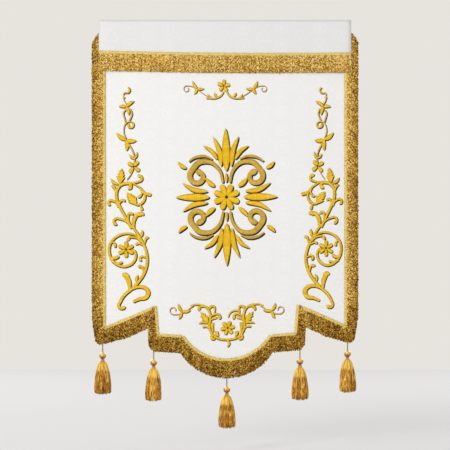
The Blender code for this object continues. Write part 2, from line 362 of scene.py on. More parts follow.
class StageSettings(bpy.types.PropertyGroup):
    floor_drop: bpy.props.FloatProperty(
        name="Floor", description="How far the floor lies below the banner's top",
        default=1.20, unit="LENGTH",
    )
    camera_distance: bpy.props.FloatProperty(
        name="Camera distance", description="From the camera to the cloth",
        default=6.0, unit="LENGTH",
    )
    view_width: bpy.props.FloatProperty(
        name="View width", description="What the camera takes in at the cloth",
        default=1.25, unit="LENGTH",
    )
    aim: bpy.props.FloatProperty(
        name="Aim", description="Height at the middle of the picture",
        default=-0.5694, unit="LENGTH",
    )


SETTINGS = {
    "banner_cloth": ClothSettings,
    "banner_fringe": FringeSettings,
    "banner_tassels": TasselSettings,
    "banner_embroidery": EmbroiderySettings,
    "banner_stage": StageSettings,
}


# Shared making

def mapped_grid(columns, rows, place):
    """A grid of faces whose vertex in each column and row lies where place puts it."""
    bm = bmesh.new()
    bmesh.ops.create_grid(bm, x_segments=columns - 1, y_segments=rows - 1, size=0.5)
    for vert in bm.verts:
        column = round((vert.co.x + 0.5) * (columns - 1))
        row = round((vert.co.y + 0.5) * (rows - 1))
        vert.co = place(column, row)
    return bm


def add_piece(name, mesh, materials, replaced=()):
    """A finished piece on the banner's body."""
    for material in materials:
        mesh.materials.append(material)
    piece = bpy.data.objects.new(name, mesh)
    bpy.context.scene.collection.objects.link(piece)
    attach(piece, "root")
    if replaced:
        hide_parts(*replaced)
    return piece


def mesh_from(bm, name, recalc=True):
    if recalc:
        bmesh.ops.recalc_face_normals(bm, faces=bm.faces[:])
    mesh = bpy.data.meshes.new(name)
    bm.to_mesh(mesh)
    bm.free()
    mesh.shade_smooth()
    return mesh


def thicken(piece, thickness):
    solidify = piece.modifiers.new("Thickness", "SOLIDIFY")
    solidify.thickness = thickness
    solidify.offset = 0
    solidify.use_even_offset = True


def evenly(low, high, spacing):
    count = max(1, round((high - low) / spacing))
    return [low + (high - low) * i / count for i in range(count)]


def map_flat(mesh, places):
    """A UV map in metres of the flat pattern, one place for each vertex."""
    layer = mesh.uv_layers.new(name="Flat")
    corners = np.empty(len(mesh.loops), dtype=np.int32)
    mesh.loops.foreach_get("vertex_index", corners)
    flat = np.array(places, dtype=np.float32)[corners]
    layer.data.foreach_set("uv", flat.ravel())


def joined_copies(name, template, positions, coords):
    """One mesh of many copies of a template mesh.

    positions holds x, y, z of each vertex of each copy, and coords its u and v.
    """
    copies, count = positions.shape[:2]
    loops = len(template.loops)
    corners = np.empty(loops, dtype=np.int32)
    template.loops.foreach_get("vertex_index", corners)
    sizes = np.empty(len(template.polygons), dtype=np.int32)
    template.polygons.foreach_get("loop_total", sizes)
    starts = np.concatenate([[0], np.cumsum(sizes)[:-1]]).astype(np.int32)
    shift = np.arange(copies, dtype=np.int32)[:, None]

    mesh = bpy.data.meshes.new(name)
    mesh.vertices.add(copies * count)
    mesh.vertices.foreach_set("co", positions.astype(np.float32).ravel())
    mesh.loops.add(copies * loops)
    mesh.loops.foreach_set("vertex_index", (corners[None] + shift * count).ravel())
    mesh.polygons.add(copies * len(sizes))
    mesh.polygons.foreach_set("loop_start", (starts[None] + shift * loops).ravel())
    mesh.update(calc_edges=True)
    layer = mesh.uv_layers.new(name="Thread")
    flat = coords[:, corners].astype(np.float32)
    layer.data.foreach_set("uv", flat.ravel())
    mesh.shade_smooth()
    return mesh


def thread_template(sides, sections):
    """A thread one unit long and of radius one, whose vertices know how far along they lie."""
    bm = bmesh.new()
    bmesh.ops.create_circle(bm, cap_ends=True, segments=sides, radius=1)
    face = bm.faces[:][0]
    for i in range(1, sections):
        moved = bmesh.ops.extrude_face_region(bm, geom=[face], use_keep_orig=True)
        if i > 1:
            bmesh.ops.delete(bm, geom=[face], context="FACES_ONLY")
        face = [item for item in moved["geom"] if isinstance(item, bmesh.types.BMFace)][0]
        for vert in face.verts:
            vert.co.z = i / (sections - 1)
    return mesh_from(bm, "thread")


def template_shape(template):
    shape = np.empty(len(template.vertices) * 3, dtype=np.float32)
    template.vertices.foreach_get("co", shape)
    return shape.reshape(-1, 3)


# Shader building

def add_node(tree, kind, **settings):
    made = tree.nodes.new(kind)
    for name, value in settings.items():
        setattr(made, name, value)
    return made


def put(tree, value, socket):
    """Links an output to a socket, or sets the socket to a plain value."""
    if isinstance(value, bpy.types.NodeSocket):
        tree.links.new(value, socket)
    elif value is not None:
        socket.default_value = value


def calc(tree, operation, first, second=None, third=None):
    made = add_node(tree, "ShaderNodeMath", operation=operation)
    for value, socket in zip((first, second, third), made.inputs):
        put(tree, value, socket)
    return made.outputs[0]


def soft_edge(tree, value, low, high):
    """One below low, nought above high, and smooth between them."""
    made = add_node(tree, "ShaderNodeMapRange", interpolation_type="SMOOTHSTEP")
    put(tree, value, made.inputs["Value"])
    made.inputs["From Min"].default_value = low
    made.inputs["From Max"].default_value = high
    made.inputs["To Min"].default_value = 1
    made.inputs["To Max"].default_value = 0
    return made.outputs["Result"]


def noise(tree, place, scale, detail=2.0):
    made = add_node(tree, "ShaderNodeTexNoise")
    put(tree, place, made.inputs["Vector"])
    put(tree, scale, made.inputs["Scale"])
    made.inputs["Detail"].default_value = detail
    return made.outputs["Fac"]


def ramp(tree, value, stops):
    """Colours between stops of (place, colour)."""
    made = add_node(tree, "ShaderNodeValToRGB")
    put(tree, value, made.inputs["Fac"])
    elements = made.color_ramp.elements
    while len(elements) < len(stops):
        elements.new(0.5)
    for element, (place, colour) in zip(elements, stops):
        element.position = place
        element.color = (*colour, 1)
    return made.outputs["Color"]


def mixed(tree, share, first, second):
    made = add_node(tree, "ShaderNodeMix", data_type="RGBA")
    put(tree, share, made.inputs["Factor"])
    for colour, socket in ((first, made.inputs["A"]), (second, made.inputs["B"])):
        put(tree, colour if isinstance(colour, bpy.types.NodeSocket) else (*colour, 1), socket)
    return made.outputs["Result"]


def bump(tree, height, distance, strength=1.0):
    made = add_node(tree, "ShaderNodeBump")
    put(tree, height, made.inputs["Height"])
    made.inputs["Distance"].default_value = distance
    made.inputs["Strength"].default_value = strength
    return made.outputs["Normal"]


def new_group(name, inputs, outputs):
    """A node group with named float or vector sockets, and its input and output nodes."""
    group = bpy.data.node_groups.new(name, "ShaderNodeTree")
    for socket, kind in inputs:
        group.interface.new_socket(socket, in_out="INPUT", socket_type=kind)
    for socket, kind in outputs:
        group.interface.new_socket(socket, in_out="OUTPUT", socket_type=kind)
    return group, add_node(group, "NodeGroupInput"), add_node(group, "NodeGroupOutput")


def use_group(tree, group, **values):
    made = add_node(tree, "ShaderNodeGroup", node_tree=group)
    for name, value in values.items():
        put(tree, value, made.inputs[name])
    return made.outputs


def new_material(name):
    material = bpy.data.materials.new(name)
    material.use_nodes = True
    tree = material.node_tree
    return material, tree, tree.nodes["Principled BSDF"].inputs


def object_place(tree):
    return add_node(tree, "ShaderNodeTexCoord").outputs["Object"]


def uv_parts(tree, layer):
    place = add_node(tree, "ShaderNodeUVMap", uv_map=layer).outputs["UV"]
    parts = add_node(tree, "ShaderNodeSeparateXYZ")
    put(tree, place, parts.inputs[0])
    return parts.outputs["X"], parts.outputs["Y"], place


# Effects that several finishes share

def make_yarn_group():
    """Fine twisted yarn: how light a spot is, with painted shade and highlight along the twist's bands, and how
    high.
    """
    group, given, out = new_group(
        "Yarn twist",
        [("Place", "NodeSocketVector"), ("Tint", "NodeSocketFloat"), ("Scale", "NodeSocketFloat")],
        [("Shade", "NodeSocketFloat"), ("Height", "NodeSocketFloat")],
    )
    place = given.outputs["Place"]
    wave = add_node(group, "ShaderNodeTexWave", wave_type="BANDS", bands_direction="DIAGONAL")
    put(group, place, wave.inputs["Vector"])
    put(group, given.outputs["Scale"], wave.inputs["Scale"])
    wave.inputs["Distortion"].default_value = 2.0
    speckle = noise(group, place, calc(group, "MULTIPLY", given.outputs["Scale"], 1.3), 3.0)
    spread = calc(group, "MULTIPLY_ADD", calc(group, "SUBTRACT", speckle, 0.5), 1.9, 0.42)
    tinted = calc(group, "ADD", spread, calc(group, "MULTIPLY", given.outputs["Tint"], 0.34))
    # The twist's bands also darken and lighten the colour as painted shade and highlight
    with_twist_shade = calc(group, "MULTIPLY_ADD", calc(group, "SUBTRACT", wave.outputs["Fac"], 0.5), 0.22, tinted)
    put(group, calc(group, "SUBTRACT", with_twist_shade, 0.17), out.inputs["Shade"])
    put(group, wave.outputs["Fac"], out.inputs["Height"])
    return group


def make_stitch_group():
    """Satin stitch across a stroke: how light a thread lies, and how high."""
    group, given, out = new_group(
        "Satin stitch",
        [("Along", "NodeSocketFloat"), ("Across", "NodeSocketFloat"), ("Pitch", "NodeSocketFloat")],
        [("Shade", "NodeSocketFloat"), ("Edge", "NodeSocketFloat"), ("Height", "NodeSocketFloat")],
    )
    count = calc(group, "DIVIDE", given.outputs["Along"], given.outputs["Pitch"])
    thread = calc(group, "ABSOLUTE", calc(group, "SINE", calc(group, "MULTIPLY", count, math.pi)))
    whole = calc(group, "FLOOR", count)
    chance = add_node(group, "ShaderNodeTexWhiteNoise", noise_dimensions="1D")
    put(group, whole, chance.inputs["W"])
    put(group, chance.outputs["Value"], out.inputs["Shade"])
    side = calc(group, "ABSOLUTE", given.outputs["Across"])
    put(group, calc(group, "POWER", side, 4.0), out.inputs["Edge"])
    put(group, thread, out.inputs["Height"])
    return group


RING_PITCH = 0.105
RING_ROW = 0.047
RING_RADIUS = 0.0165


def damask_cell(group, across, up, shift):
    """Distance from, and turn about, the middle of the nearest figure of a repeat."""
    middle = []
    for value, pitch in ((across, RING_PITCH), (up, RING_ROW)):
        share = calc(group, "FRACT", calc(group, "ADD", calc(group, "DIVIDE", value, pitch), shift))
        middle.append(calc(group, "MULTIPLY", calc(group, "SUBTRACT", share, 0.5), pitch))
    x, y = middle
    away = calc(group, "SQRT", calc(group, "MULTIPLY_ADD", x, x, calc(group, "MULTIPLY", y, y)))
    return away, calc(group, "ARCTAN2", x, y)


def petals(group, turn, count, radius, depth):
    """The radius of a round figure with that many petals."""
    lobes = calc(group, "ABSOLUTE", calc(group, "COSINE", calc(group, "MULTIPLY", turn, count / 2)))
    return calc(group, "MULTIPLY_ADD", lobes, radius * depth, radius * (1 - depth))


def make_damask_group():
    """The woven figure: rings round a flower, with a palm leaf between them, and the plain weave."""
    group, given, out = new_group(
        "Damask",
        [("Across", "NodeSocketFloat"), ("Up", "NodeSocketFloat")],
        [("Figure", "NodeSocketFloat"), ("Weave", "NodeSocketFloat")],
    )
    across, up = given.outputs["Across"], given.outputs["Up"]
    away, turn = damask_cell(group, across, up, 0.0)
    from_ring = calc(group, "ABSOLUTE", calc(group, "SUBTRACT", away, RING_RADIUS))
    ring = soft_edge(group, from_ring, 0.0014, 0.0032)
    flower = soft_edge(group, calc(group, "SUBTRACT", away, petals(group, turn, 6, 0.0098, 0.45)), 0, 0.0016)
    away, turn = damask_cell(group, across, up, 0.5)
    leaf = calc(group, "SUBTRACT", away, petals(group, turn, 3, 0.0185, 0.60))
    leaf = soft_edge(group, calc(group, "ABSOLUTE", leaf), 0.0012, 0.0034)
    figure = calc(group, "MAXIMUM", calc(group, "MAXIMUM", ring, flower), leaf)
    put(group, figure, out.inputs["Figure"])
    threads = []
    for value in (across, up):
        threads.append(calc(group, "SINE", calc(group, "MULTIPLY", value, 2 * math.pi / 0.0011)))
    put(group, calc(group, "MULTIPLY", *threads), out.inputs["Weave"])
    return group


# Finishes

def damask_finish(groups, name, painted_shading):
    values = bpy.context.scene.banner_cloth
    material, tree, shader = new_material(name)
    across, up, place = uv_parts(tree, "Flat")
    damask = use_group(tree, groups["damask"], Across=across, Up=up)
    cloudy = noise(tree, place, 26.0, 3.0)
    # The figure is painted lighter than the ground as a painted sheen, in cloudy random patches
    patchy = calc(tree, "MULTIPLY", damask["Figure"], calc(tree, "MULTIPLY_ADD", cloudy, 1.1, 0.1))
    # A share below one paints the damask in shade
    ground = [part * painted_shading for part in values.colour]
    figure = [part * painted_shading for part in values.figure_sheen_colour]
    put(tree, mixed(tree, patchy, ground, figure), shader["Base Color"])
    put(tree, calc(tree, "MULTIPLY_ADD", patchy, -0.22, 0.70), shader["Roughness"])
    height = calc(tree, "MULTIPLY_ADD", damask["Weave"], 0.25, damask["Figure"])
    put(tree, bump(tree, height, 0.00012), shader["Normal"])
    shader["Sheen Weight"].default_value = 0.12
    shader["Specular IOR Level"].default_value = 0.35
    return material


def gold_ramp(tree, shade, values):
    pale = [min(1, share * part) for share, part in zip((1.1, 1.35, 3.8), values.light)]
    stops = (
        (0.07, values.dark), (0.34, values.middle), (0.45, values.middle),
        (0.71, values.light), (0.98, pale),
    )
    return ramp(tree, calc(tree, "MULTIPLY", shade, 0.74), stops)


def flecks(tree, place, scale):
    """A chance value for each of many small spots."""
    made = add_node(tree, "ShaderNodeTexVoronoi")
    put(tree, place, made.inputs["Vector"])
    put(tree, scale, made.inputs["Scale"])
    parts = add_node(tree, "ShaderNodeSeparateColor")
    put(tree, made.outputs["Color"], parts.inputs[0])
    return parts.outputs[0]


def fringe_finish(groups):
    """Crimped metallic thread with light and dark flecks, which paint the highlights and shade of its turns,
    and painted shade towards the thread ends.
    """
    values = bpy.context.scene.banner_fringe
    material, tree, shader = new_material("fringe_thread")
    along, tint, _ = uv_parts(tree, "Thread")
    place = object_place(tree)
    yarn = use_group(tree, groups["yarn"], Place=place, Tint=tint, Scale=230.0)
    # The flecks paint highlights and shade of the crimped turns, and the thread's end gets painted shade
    cloudy = calc(tree, "MULTIPLY_ADD", noise(tree, place, 240.0, 1.0), 0.38, -0.11)
    spots = calc(tree, "MULTIPLY_ADD", flecks(tree, place, 400.0), 0.92, cloudy)
    shade = calc(tree, "MULTIPLY_ADD", tint, 0.36, spots)
    shade = calc(tree, "MULTIPLY_ADD", along, -0.10, shade)
    put(tree, gold_ramp(tree, shade, values), shader["Base Color"])
    put(tree, calc(tree, "MULTIPLY_ADD", yarn["Shade"], -0.2, 0.55), shader["Roughness"])
    put(tree, bump(tree, yarn["Height"], 0.0004), shader["Normal"])
    shader["Metallic"].default_value = 0.15
    shader["Specular IOR Level"].default_value = 0.15
    return material


def heading_finish(groups):
    values = bpy.context.scene.banner_fringe
    material, tree, shader = new_material("heading_gold")
    yarn = use_group(tree, groups["yarn"], Place=object_place(tree), Tint=0.5, Scale=260.0)
    stops = ((0.05, values.middle), (0.45, values.heading), (0.95, values.light))
    put(tree, ramp(tree, yarn["Shade"], stops), shader["Base Color"])
    put(tree, bump(tree, yarn["Height"], 0.0003), shader["Normal"])
    shader["Roughness"].default_value = 0.5
    shader["Metallic"].default_value = 0.2
    return material


def tassel_finish(groups):
    """Silky yarn in dark and light streaks, with a painted satin highlight below the neck, and darker towards
    the bottom.
    """
    values = bpy.context.scene.banner_tassels
    material, tree, shader = new_material("tassel_yarn")
    along, tint, _ = uv_parts(tree, "Thread")
    yarn = use_group(tree, groups["yarn"], Place=object_place(tree), Tint=tint, Scale=150.0)
    streak = add_node(tree, "ShaderNodeCombineXYZ")
    put(tree, calc(tree, "MULTIPLY", along, 4.5), streak.inputs["X"])
    put(tree, calc(tree, "MULTIPLY", tint, 24.0), streak.inputs["Y"])
    patchy = calc(tree, "MULTIPLY_ADD", noise(tree, streak.outputs[0], 1.0, 2.0), 3.1, -1.15)
    shade = calc(tree, "MULTIPLY_ADD", tint, 0.52, calc(tree, "MULTIPLY", patchy, 0.80))
    shade = calc(tree, "MULTIPLY_ADD", yarn["Shade"], 0.12, shade)
    # A painted highlight just below the neck
    away = calc(tree, "ABSOLUTE", calc(tree, "SUBTRACT", along, 0.15))
    painted_shine = calc(tree, "MULTIPLY", soft_edge(tree, away, 0.02, 0.24), 0.38)
    shade = calc(tree, "SUBTRACT", calc(tree, "ADD", shade, painted_shine), 0.17)
    # Lighter above and darker towards the bottom
    shade = calc(tree, "MULTIPLY_ADD", soft_edge(tree, along, 0.30, 0.85), 0.11, shade)
    base = values.colour
    dark = [share * part for share, part in zip((0.30, 0.22, 0.16), base)]
    light = [min(1, share * part) for share, part in zip((1.85, 3.0, 8.5), base)]
    put(tree, ramp(tree, shade, ((0.02, dark), (0.5, base), (1.0, light))), shader["Base Color"])
    put(tree, bump(tree, yarn["Height"], 0.0002), shader["Normal"])
    shader["Roughness"].default_value = 0.40
    shader["Metallic"].default_value = 0.10
    shader["Specular IOR Level"].default_value = 0.3
    return material


def bead_finish(groups):
    """Gilding with a painted highlight above and painted shade below, and random wear."""
    material, tree, shader = new_material("bead_polish")
    worn = noise(tree, object_place(tree), 240.0)
    base = bpy.context.scene.banner_tassels.bead
    # Painted shade for the lower half and a painted highlight for the top
    deep = [share * part for share, part in zip((0.36, 0.26, 0.20), base)]
    painted_highlight = [min(1, share * part) for share, part in zip((1.5, 2.1, 2.9), base)]
    height, _, _ = uv_parts(tree, "Thread")
    shade = calc(tree, "MULTIPLY_ADD", worn, 0.12, height)
    put(tree, ramp(tree, shade, ((0.22, deep), (0.58, base), (0.92, painted_highlight))), shader["Base Color"])
    put(tree, calc(tree, "MULTIPLY_ADD", worn, 0.14, 0.42), shader["Roughness"])
    shader["Metallic"].default_value = 0.7
    return material


def cord_finish(groups):
    base = bpy.context.scene.banner_tassels.cord
    material, tree, shader = new_material("cord_twist")
    yarn = use_group(tree, groups["yarn"], Place=object_place(tree), Tint=0.5, Scale=300.0)
    dark = [part * 0.6 for part in base]
    light = [min(1, part * 1.5) for part in base]
    put(tree, ramp(tree, yarn["Shade"], ((0.1, dark), (0.5, base), (0.9, light))), shader["Base Color"])
    put(tree, bump(tree, yarn["Height"], 0.0002), shader["Normal"])
    shader["Roughness"].default_value = 0.55
    return material


def white_thread_finish():
    material, tree, shader = new_material("white_thread")
    cloudy = noise(tree, object_place(tree), 300.0)
    put(tree, mixed(tree, cloudy, (0.62, 0.61, 0.58), (0.74, 0.73, 0.70)), shader["Base Color"])
    shader["Roughness"].default_value = 0.55
    return material


def stitched_finish(groups, name, base, edge, pitch, metallic, roughness):
    """Thread laid across a stroke, with painted shade, darker and redder, where it turns under the edge."""
    material, tree, shader = new_material(name)
    along, across, _ = uv_parts(tree, "Stitch")
    stitch = use_group(tree, groups["stitch"], Along=along, Across=across, Pitch=pitch)
    cloudy = noise(tree, object_place(tree), 90.0)
    light = [min(1, part * 1.22 + 0.012) for part in base]
    deep = [part * 0.80 for part in base]
    share = calc(tree, "MULTIPLY_ADD", stitch["Shade"], 0.45, calc(tree, "MULTIPLY", cloudy, 0.55))
    colour = ramp(tree, share, ((0.2, deep), (0.5, base), (0.8, light)))
    put(tree, mixed(tree, stitch["Edge"], colour, edge), shader["Base Color"])
    put(tree, bump(tree, stitch["Height"], 0.00025), shader["Normal"])
    shader["Roughness"].default_value = roughness
    shader["Metallic"].default_value = metallic
    shader["Specular IOR Level"].default_value = 0.25
    return material


def make_finishes():
    groups = {
        "yarn": make_yarn_group(),
        "stitch": make_stitch_group(),
        "damask": make_damask_group(),
    }
    values = bpy.context.scene.banner_embroidery
    # Painted shade colours for where the stitches turn under the edges
    gold_edge_shade = [share * part for share, part in zip((0.72, 0.55, 0.6), values.gold)]
    stem_edge_shade = [part * 0.6 for part in values.copper]
    damask_finish(groups, "damask_weave", 1.0)
    # The sleeve is the same damask painted in shade, nine tenths as light
    damask_finish(groups, "sleeve_weave_painted_shade", 0.91)
    fringe_finish(groups)
    heading_finish(groups)
    tassel_finish(groups)
    bead_finish(groups)
    cord_finish(groups)
    white_thread_finish()
    stitched_finish(groups, "embroidery_gold", values.gold, gold_edge_shade, 0.0009, 0.20, 0.36)
    stitched_finish(groups, "antique_gold", values.antique, gold_edge_shade, 0.0009, 0.25, 0.36)
    stitched_finish(groups, "stem_copper", values.copper, stem_edge_shade, 0.0012, 0.15, 0.45)
    stitched_finish(groups, "edging_dark", values.dark_thread_and_shadow, values.dark_thread_and_shadow, 0.0012, 0.0, 0.6)


def finish(name):
    if name not in bpy.data.materials:
        make_finishes()
    return bpy.data.materials[name]


# Cloth

def cloth_columns(width):
    stops = (0.0, HEM_ARC_HALF, HEM_STEP.x, HEM_NOTCH.x, CLOTH_HALF)
    right = [x for low, high in zip(stops, stops[1:]) for x in evenly(low, high, width)]
    right.append(CLOTH_HALF)
    return [-x for x in reversed(right[1:])] + right


def make_cloth():
    """The panel's damask, finer than the solid and on the same hang."""
    values = bpy.context.scene.banner_cloth
    columns = cloth_columns(values.weave_column)
    rows = round((CLOTH_TOP - hem_height(HEM_NOTCH.x)) / values.weave_row)
    flat = []

    def place(column, row):
        x = columns[column]
        z = CLOTH_TOP + (hem_height(x) - CLOTH_TOP) * row / rows
        flat.append((x, z))
        return hung(Vector((x, CLOTH_Y, z)))

    bm = mapped_grid(len(columns), rows + 1, place)
    mesh = mesh_from(bm, "cloth_panel")
    map_flat(mesh, flat)
    piece = add_piece("cloth_panel", mesh, [finish("damask_weave")], ["panel"])
    thicken(piece, CLOTH_THICK)
    return piece


def declare_panel(piece):
    steps = 400
    width = 2 * CLOTH_HALF / steps
    middles = [-CLOTH_HALF + width * (i + 0.5) for i in range(steps)]
    area = sum((CLOTH_TOP - hem_height(x)) * width for x in middles)
    flat = (2 * CLOTH_HALF, CLOTH_TOP - hem_height(0))


def sleeve_section(x):
    """Middle line of the folded strip, from the front's lower edge over the fold to the back's."""
    front = sleeve_front(x)
    back = SLEEVE_DEPTH / 2
    seam = CLOTH_BACK + HEADING_GAP + SLEEVE_THICK / 2
    top = -SLEEVE_THICK / 2
    section = [(front, z) for z in evenly(-SLEEVE_DROP, top - SLEEVE_FOLD, 0.012)]
    for i in range(SLEEVE_FOLD_STEPS + 1):
        turn = math.pi * i / SLEEVE_FOLD_STEPS
        y = (front + back) / 2 - math.cos(turn) * (back - front) / 2
        section.append((y, top - SLEEVE_FOLD * (1 - math.sin(turn))))
    for i in range(1, 6):
        section.append((back, top - SLEEVE_FOLD - (SLEEVE_POCKET_END - SLEEVE_FOLD) * i / 5))
    for i in range(1, 5):
        share = smooth_step(0, 4, i)
        drop = SLEEVE_POCKET_END + (SLEEVE_SEAM_TOP - SLEEVE_POCKET_END) * i / 4
        section.append((back + (seam - back) * share, -drop))
    section.append((seam, -SLEEVE_DROP))
    return section


def make_sleeve():
    """The folded strip that takes the pole."""
    half = evenly(0, CLOTH_HALF, 0.0125) + [CLOTH_HALF]
    columns = [-x for x in reversed(half[1:])] + half
    sections = [sleeve_section(x) for x in columns]
    middle = sections[len(sections) // 2]
    steps = [math.dist(a, b) for a, b in zip(middle, middle[1:])]
    reach = [sum(steps[:i]) for i in range(len(middle))]
    flat = []

    def place(column, row):
        flat.append((columns[column], reach[row] - SLEEVE_DROP))
        return Vector((columns[column], *sections[column][row]))

    bm = mapped_grid(len(columns), len(middle), place)
    mesh = mesh_from(bm, "sleeve_cloth")
    map_flat(mesh, flat)
    piece = add_piece("sleeve_cloth", mesh, [finish("sleeve_weave_painted_shade")], ["pole_sleeve"])
    thicken(piece, SLEEVE_THICK)
    return piece


# Fringe

Path = namedtuple("Path", "name start end bow run sign base hangs replaced")
STRAIGHT = Run("", "", "", 0, 0, 0, 0, 0, LOCK_LONG, LOCK_LONG, LOCK_LONG)


def cloth_base(x):
    return CLOTH_FRONT - HEADING_GAP


def sleeve_base(x):
    return sleeve_front(x) - SLEEVE_THICK / 2 - HEADING_GAP


def fringe_paths():
    """Each cut length of fringe, by where its heading runs in the flat pattern's right half."""
    paths = []
    for run in RUNS:
        along = (AT[run.end] - AT[run.start]).normalized()
        start = AT[run.start] + along * run.trim_start
        end = AT[run.end] - along * run.trim_end
        for side, sign in (("left", -1), ("right", 1)):
            name = f"{run.name}_{side}"
            paths.append(Path(name, start, end, 0, run, sign, cloth_base, True, f"fringe_{name}"))
    right = AT["step_inner"]
    left = Vector((-right.x, 0, right.z))
    paths.append(Path("bottom", right, left, ARC_RISE, STRAIGHT, 1, cloth_base, True, "fringe_bottom"))
    right = Vector((TOP_FRINGE_HALF, 0, TOP_FRINGE_Z - TOP_FRINGE_SLANT))
    left = Vector((-TOP_FRINGE_HALF, 0, TOP_FRINGE_Z + TOP_FRINGE_SLANT))
    paths.append(Path("top", right, left, TOP_FRINGE_SAG, STRAIGHT, 1, sleeve_base, False, "fringe_top"))
    return paths


def settled(path, points):
    """Points of the right half's pattern, on their own side and on the hanging cloth."""
    points = points * np.array((path.sign, 1, 1))
    return hung_points(points) if path.hangs else points


LAYERS = 3
THREAD_SIDES = 4
THREAD_SECTIONS = 18
ROOT_SHARE = 0.70
LENGTH_SPREAD = 0.0009
BACKING = 1.5
CURL_TURNS = (3.2, 4.9)
CORNER_BEFORE = {"slant": "side", "step": "notch"}
CORNER_STEPS = 12
CORNER_THREADS = 7
# Painted shade on the lower fringes and towards the side fringes' thread ends, and painted light on the top
# fringe
LOW_PAINTED_SHADE = -0.64
TOP_PAINTED_LIGHT = 0.30
END_PAINTED_SHADE = {"side": -0.32}
PAINTED_SHADE_FROM = -0.845
PAINTED_SHADE_TO = -0.755


def run_before(path):
    """The run from whose end a path goes on round an outer corner."""
    before = [run for run in RUNS if run.name == CORNER_BEFORE.get(path.run.name)]
    return before[0] if before else None


def corner_places(path, count):
    """A corner that a run starts from, with its directions on the way round from the run before."""
    before = run_before(path)
    if before is None:
        return []
    first = outward(AT[before.start], AT[before.end])
    last = outward(path.start, path.end)
    return [(AT[path.run.start], first.slerp(last, (i + 0.5) / count)) for i in range(count)]


def thread_at(path, place, lean, long, layer, chance):
    root, out = place
    root = root + out * HEADING_WIDTH * ROOT_SHARE
    root.y = path.base(root.x) - HEADING_THICK * (0.2 + 0.32 * layer)
    long += HEADING_WIDTH * (1 - ROOT_SHARE) + chance.gauss(0, 1) * LENGTH_SPREAD
    return root, lean + chance.gauss(0, 0.03), long, BACKING if layer == 0 else 1


def thread_lines(path, pitch, chance):
    """Root, direction, length and thickness of each thread of a path."""
    length = (path.end - path.start).length
    run = path.run
    count = round(length / pitch)
    threads = []
    for layer in range(LAYERS):
        for i, place in enumerate(corner_places(path, CORNER_THREADS)):
            before = run_before(path)
            share = i / (CORNER_THREADS - 1)
            lean = before.lean_end + (run.lean_start - before.lean_end) * share
            long = before.long_end + (run.long_start - before.long_end) * share
            threads.append(thread_at(path, place, lean, long, layer, chance))
        for i in range(count):
            share = min(1, max(0, (i + 0.5 + layer / LAYERS + chance.uniform(-0.3, 0.3)) / count))
            place = path_point(path.start, path.end, path.bow, share)
            lean = eased(share * length, length, run.lean_start, run.lean_middle, run.lean_end)
            long = eased(share * length, length, run.long_start, run.long_middle, run.long_end)
            threads.append(thread_at(path, place, lean, long, layer, chance))
    return threads


def make_threads(path, pitch, radius, curl, chance):
    """All threads of one cut length, crimped, in layers."""
    template = thread_template(THREAD_SIDES, THREAD_SECTIONS)
    shape = template_shape(template)
    count = len(shape)
    along = shape[:, 2]
    threads = thread_lines(path, pitch, chance)
    roots = np.array([t[0] for t in threads])
    leans = np.array([t[1] for t in threads])
    longs = np.array([t[2] for t in threads])
    thick = np.array([t[3] for t in threads])

    def reach(lean_factor, share):
        drop = np.stack([leans * lean_factor, 0 * leans, -np.ones_like(leans)], axis=1)
        drop /= np.linalg.norm(drop, axis=1, keepdims=True)
        return drop * (longs * share)[:, None]

    half, whole = reach(LEAN_AT_HALF, 0.5), reach(1.0, 1.0)
    bend = 4 * half - whole
    s = along[None, :, None]
    middle = roots[:, None] + bend[:, None] * s + (whole - bend)[:, None] * s * s
    tangent = bend[:, None] + 2 * (whole - bend)[:, None] * s
    tangent /= np.linalg.norm(tangent, axis=2, keepdims=True)
    front = np.array((0.0, -1.0, 0.0))
    side = np.cross(front, tangent)

    numbers = len(threads)
    turns = np.array([chance.uniform(*CURL_TURNS) for _ in range(numbers)])
    phase = np.array([chance.uniform(0, 2 * math.pi) for _ in range(numbers)])
    hand = np.array([chance.choice((-1, 1)) for _ in range(numbers)])
    amount = np.array([chance.uniform(0.7, 1.3) for _ in range(numbers)]) * curl / thick**2
    angle = phase[:, None] + 2 * math.pi * turns[:, None] * along[None] * hand[:, None]
    grow = np.minimum(1, along * 5)[None] * amount[:, None]
    swell = thick[:, None] * (1 - 0.35 * np.clip(along - 0.9, 0, 1) * 10)[None]
    across = shape[:, 0][None] * radius * swell + np.cos(angle) * grow
    forward = shape[:, 1][None] * radius * swell + np.sin(angle) * grow * 0.7
    points = middle + side * across[..., None] + front * forward[..., None]

    # Painted shade on the lower fringes and painted light on the fringe along the sleeve
    painted_shading = LOW_PAINTED_SHADE * (1 - smooth_steps(PAINTED_SHADE_FROM, PAINTED_SHADE_TO, roots[:, 2]))
    painted_shading += 0 if path.hangs else TOP_PAINTED_LIGHT
    tint = np.array([chance.random() for _ in range(numbers)]) + painted_shading
    tint = tint[:, None] + END_PAINTED_SHADE.get(path.run.name, 0) * (2.3 * along - 0.7)
    coords = np.stack([np.broadcast_to(along, (numbers, count)), tint], axis=2)
    name = f"threads_{path.name}"
    mesh = joined_copies(name, template, settled(path, points), coords)
    if path.sign < 0:
        mesh.flip_normals()
    bpy.data.meshes.remove(template)
    return add_piece(name, mesh, [finish("fringe_thread")], [path.replaced])


HEADING_STEP = 0.0011
HEADING_RIB = 0.0036
HEADING_ROUND = ((-0.28, 0.0), (-0.25, 0.5), (-0.05, 0.88), (0.5, 1.0), (0.88, 0.92), (1.02, 0.55), (1.04, 0.0))


def heading_places(path):
    """Points and outward directions along a heading, round its first corner too, and the way so far."""
    chord = (path.end - path.start).length
    count = round(chord / HEADING_STEP)
    places = corner_places(path, CORNER_STEPS)
    way = [HEADING_STEP * (i - len(places)) for i in range(len(places))]
    for i in range(count + 1):
        places.append(path_point(path.start, path.end, path.bow, i / count))
        way.append(chord * i / count)
    return places, way


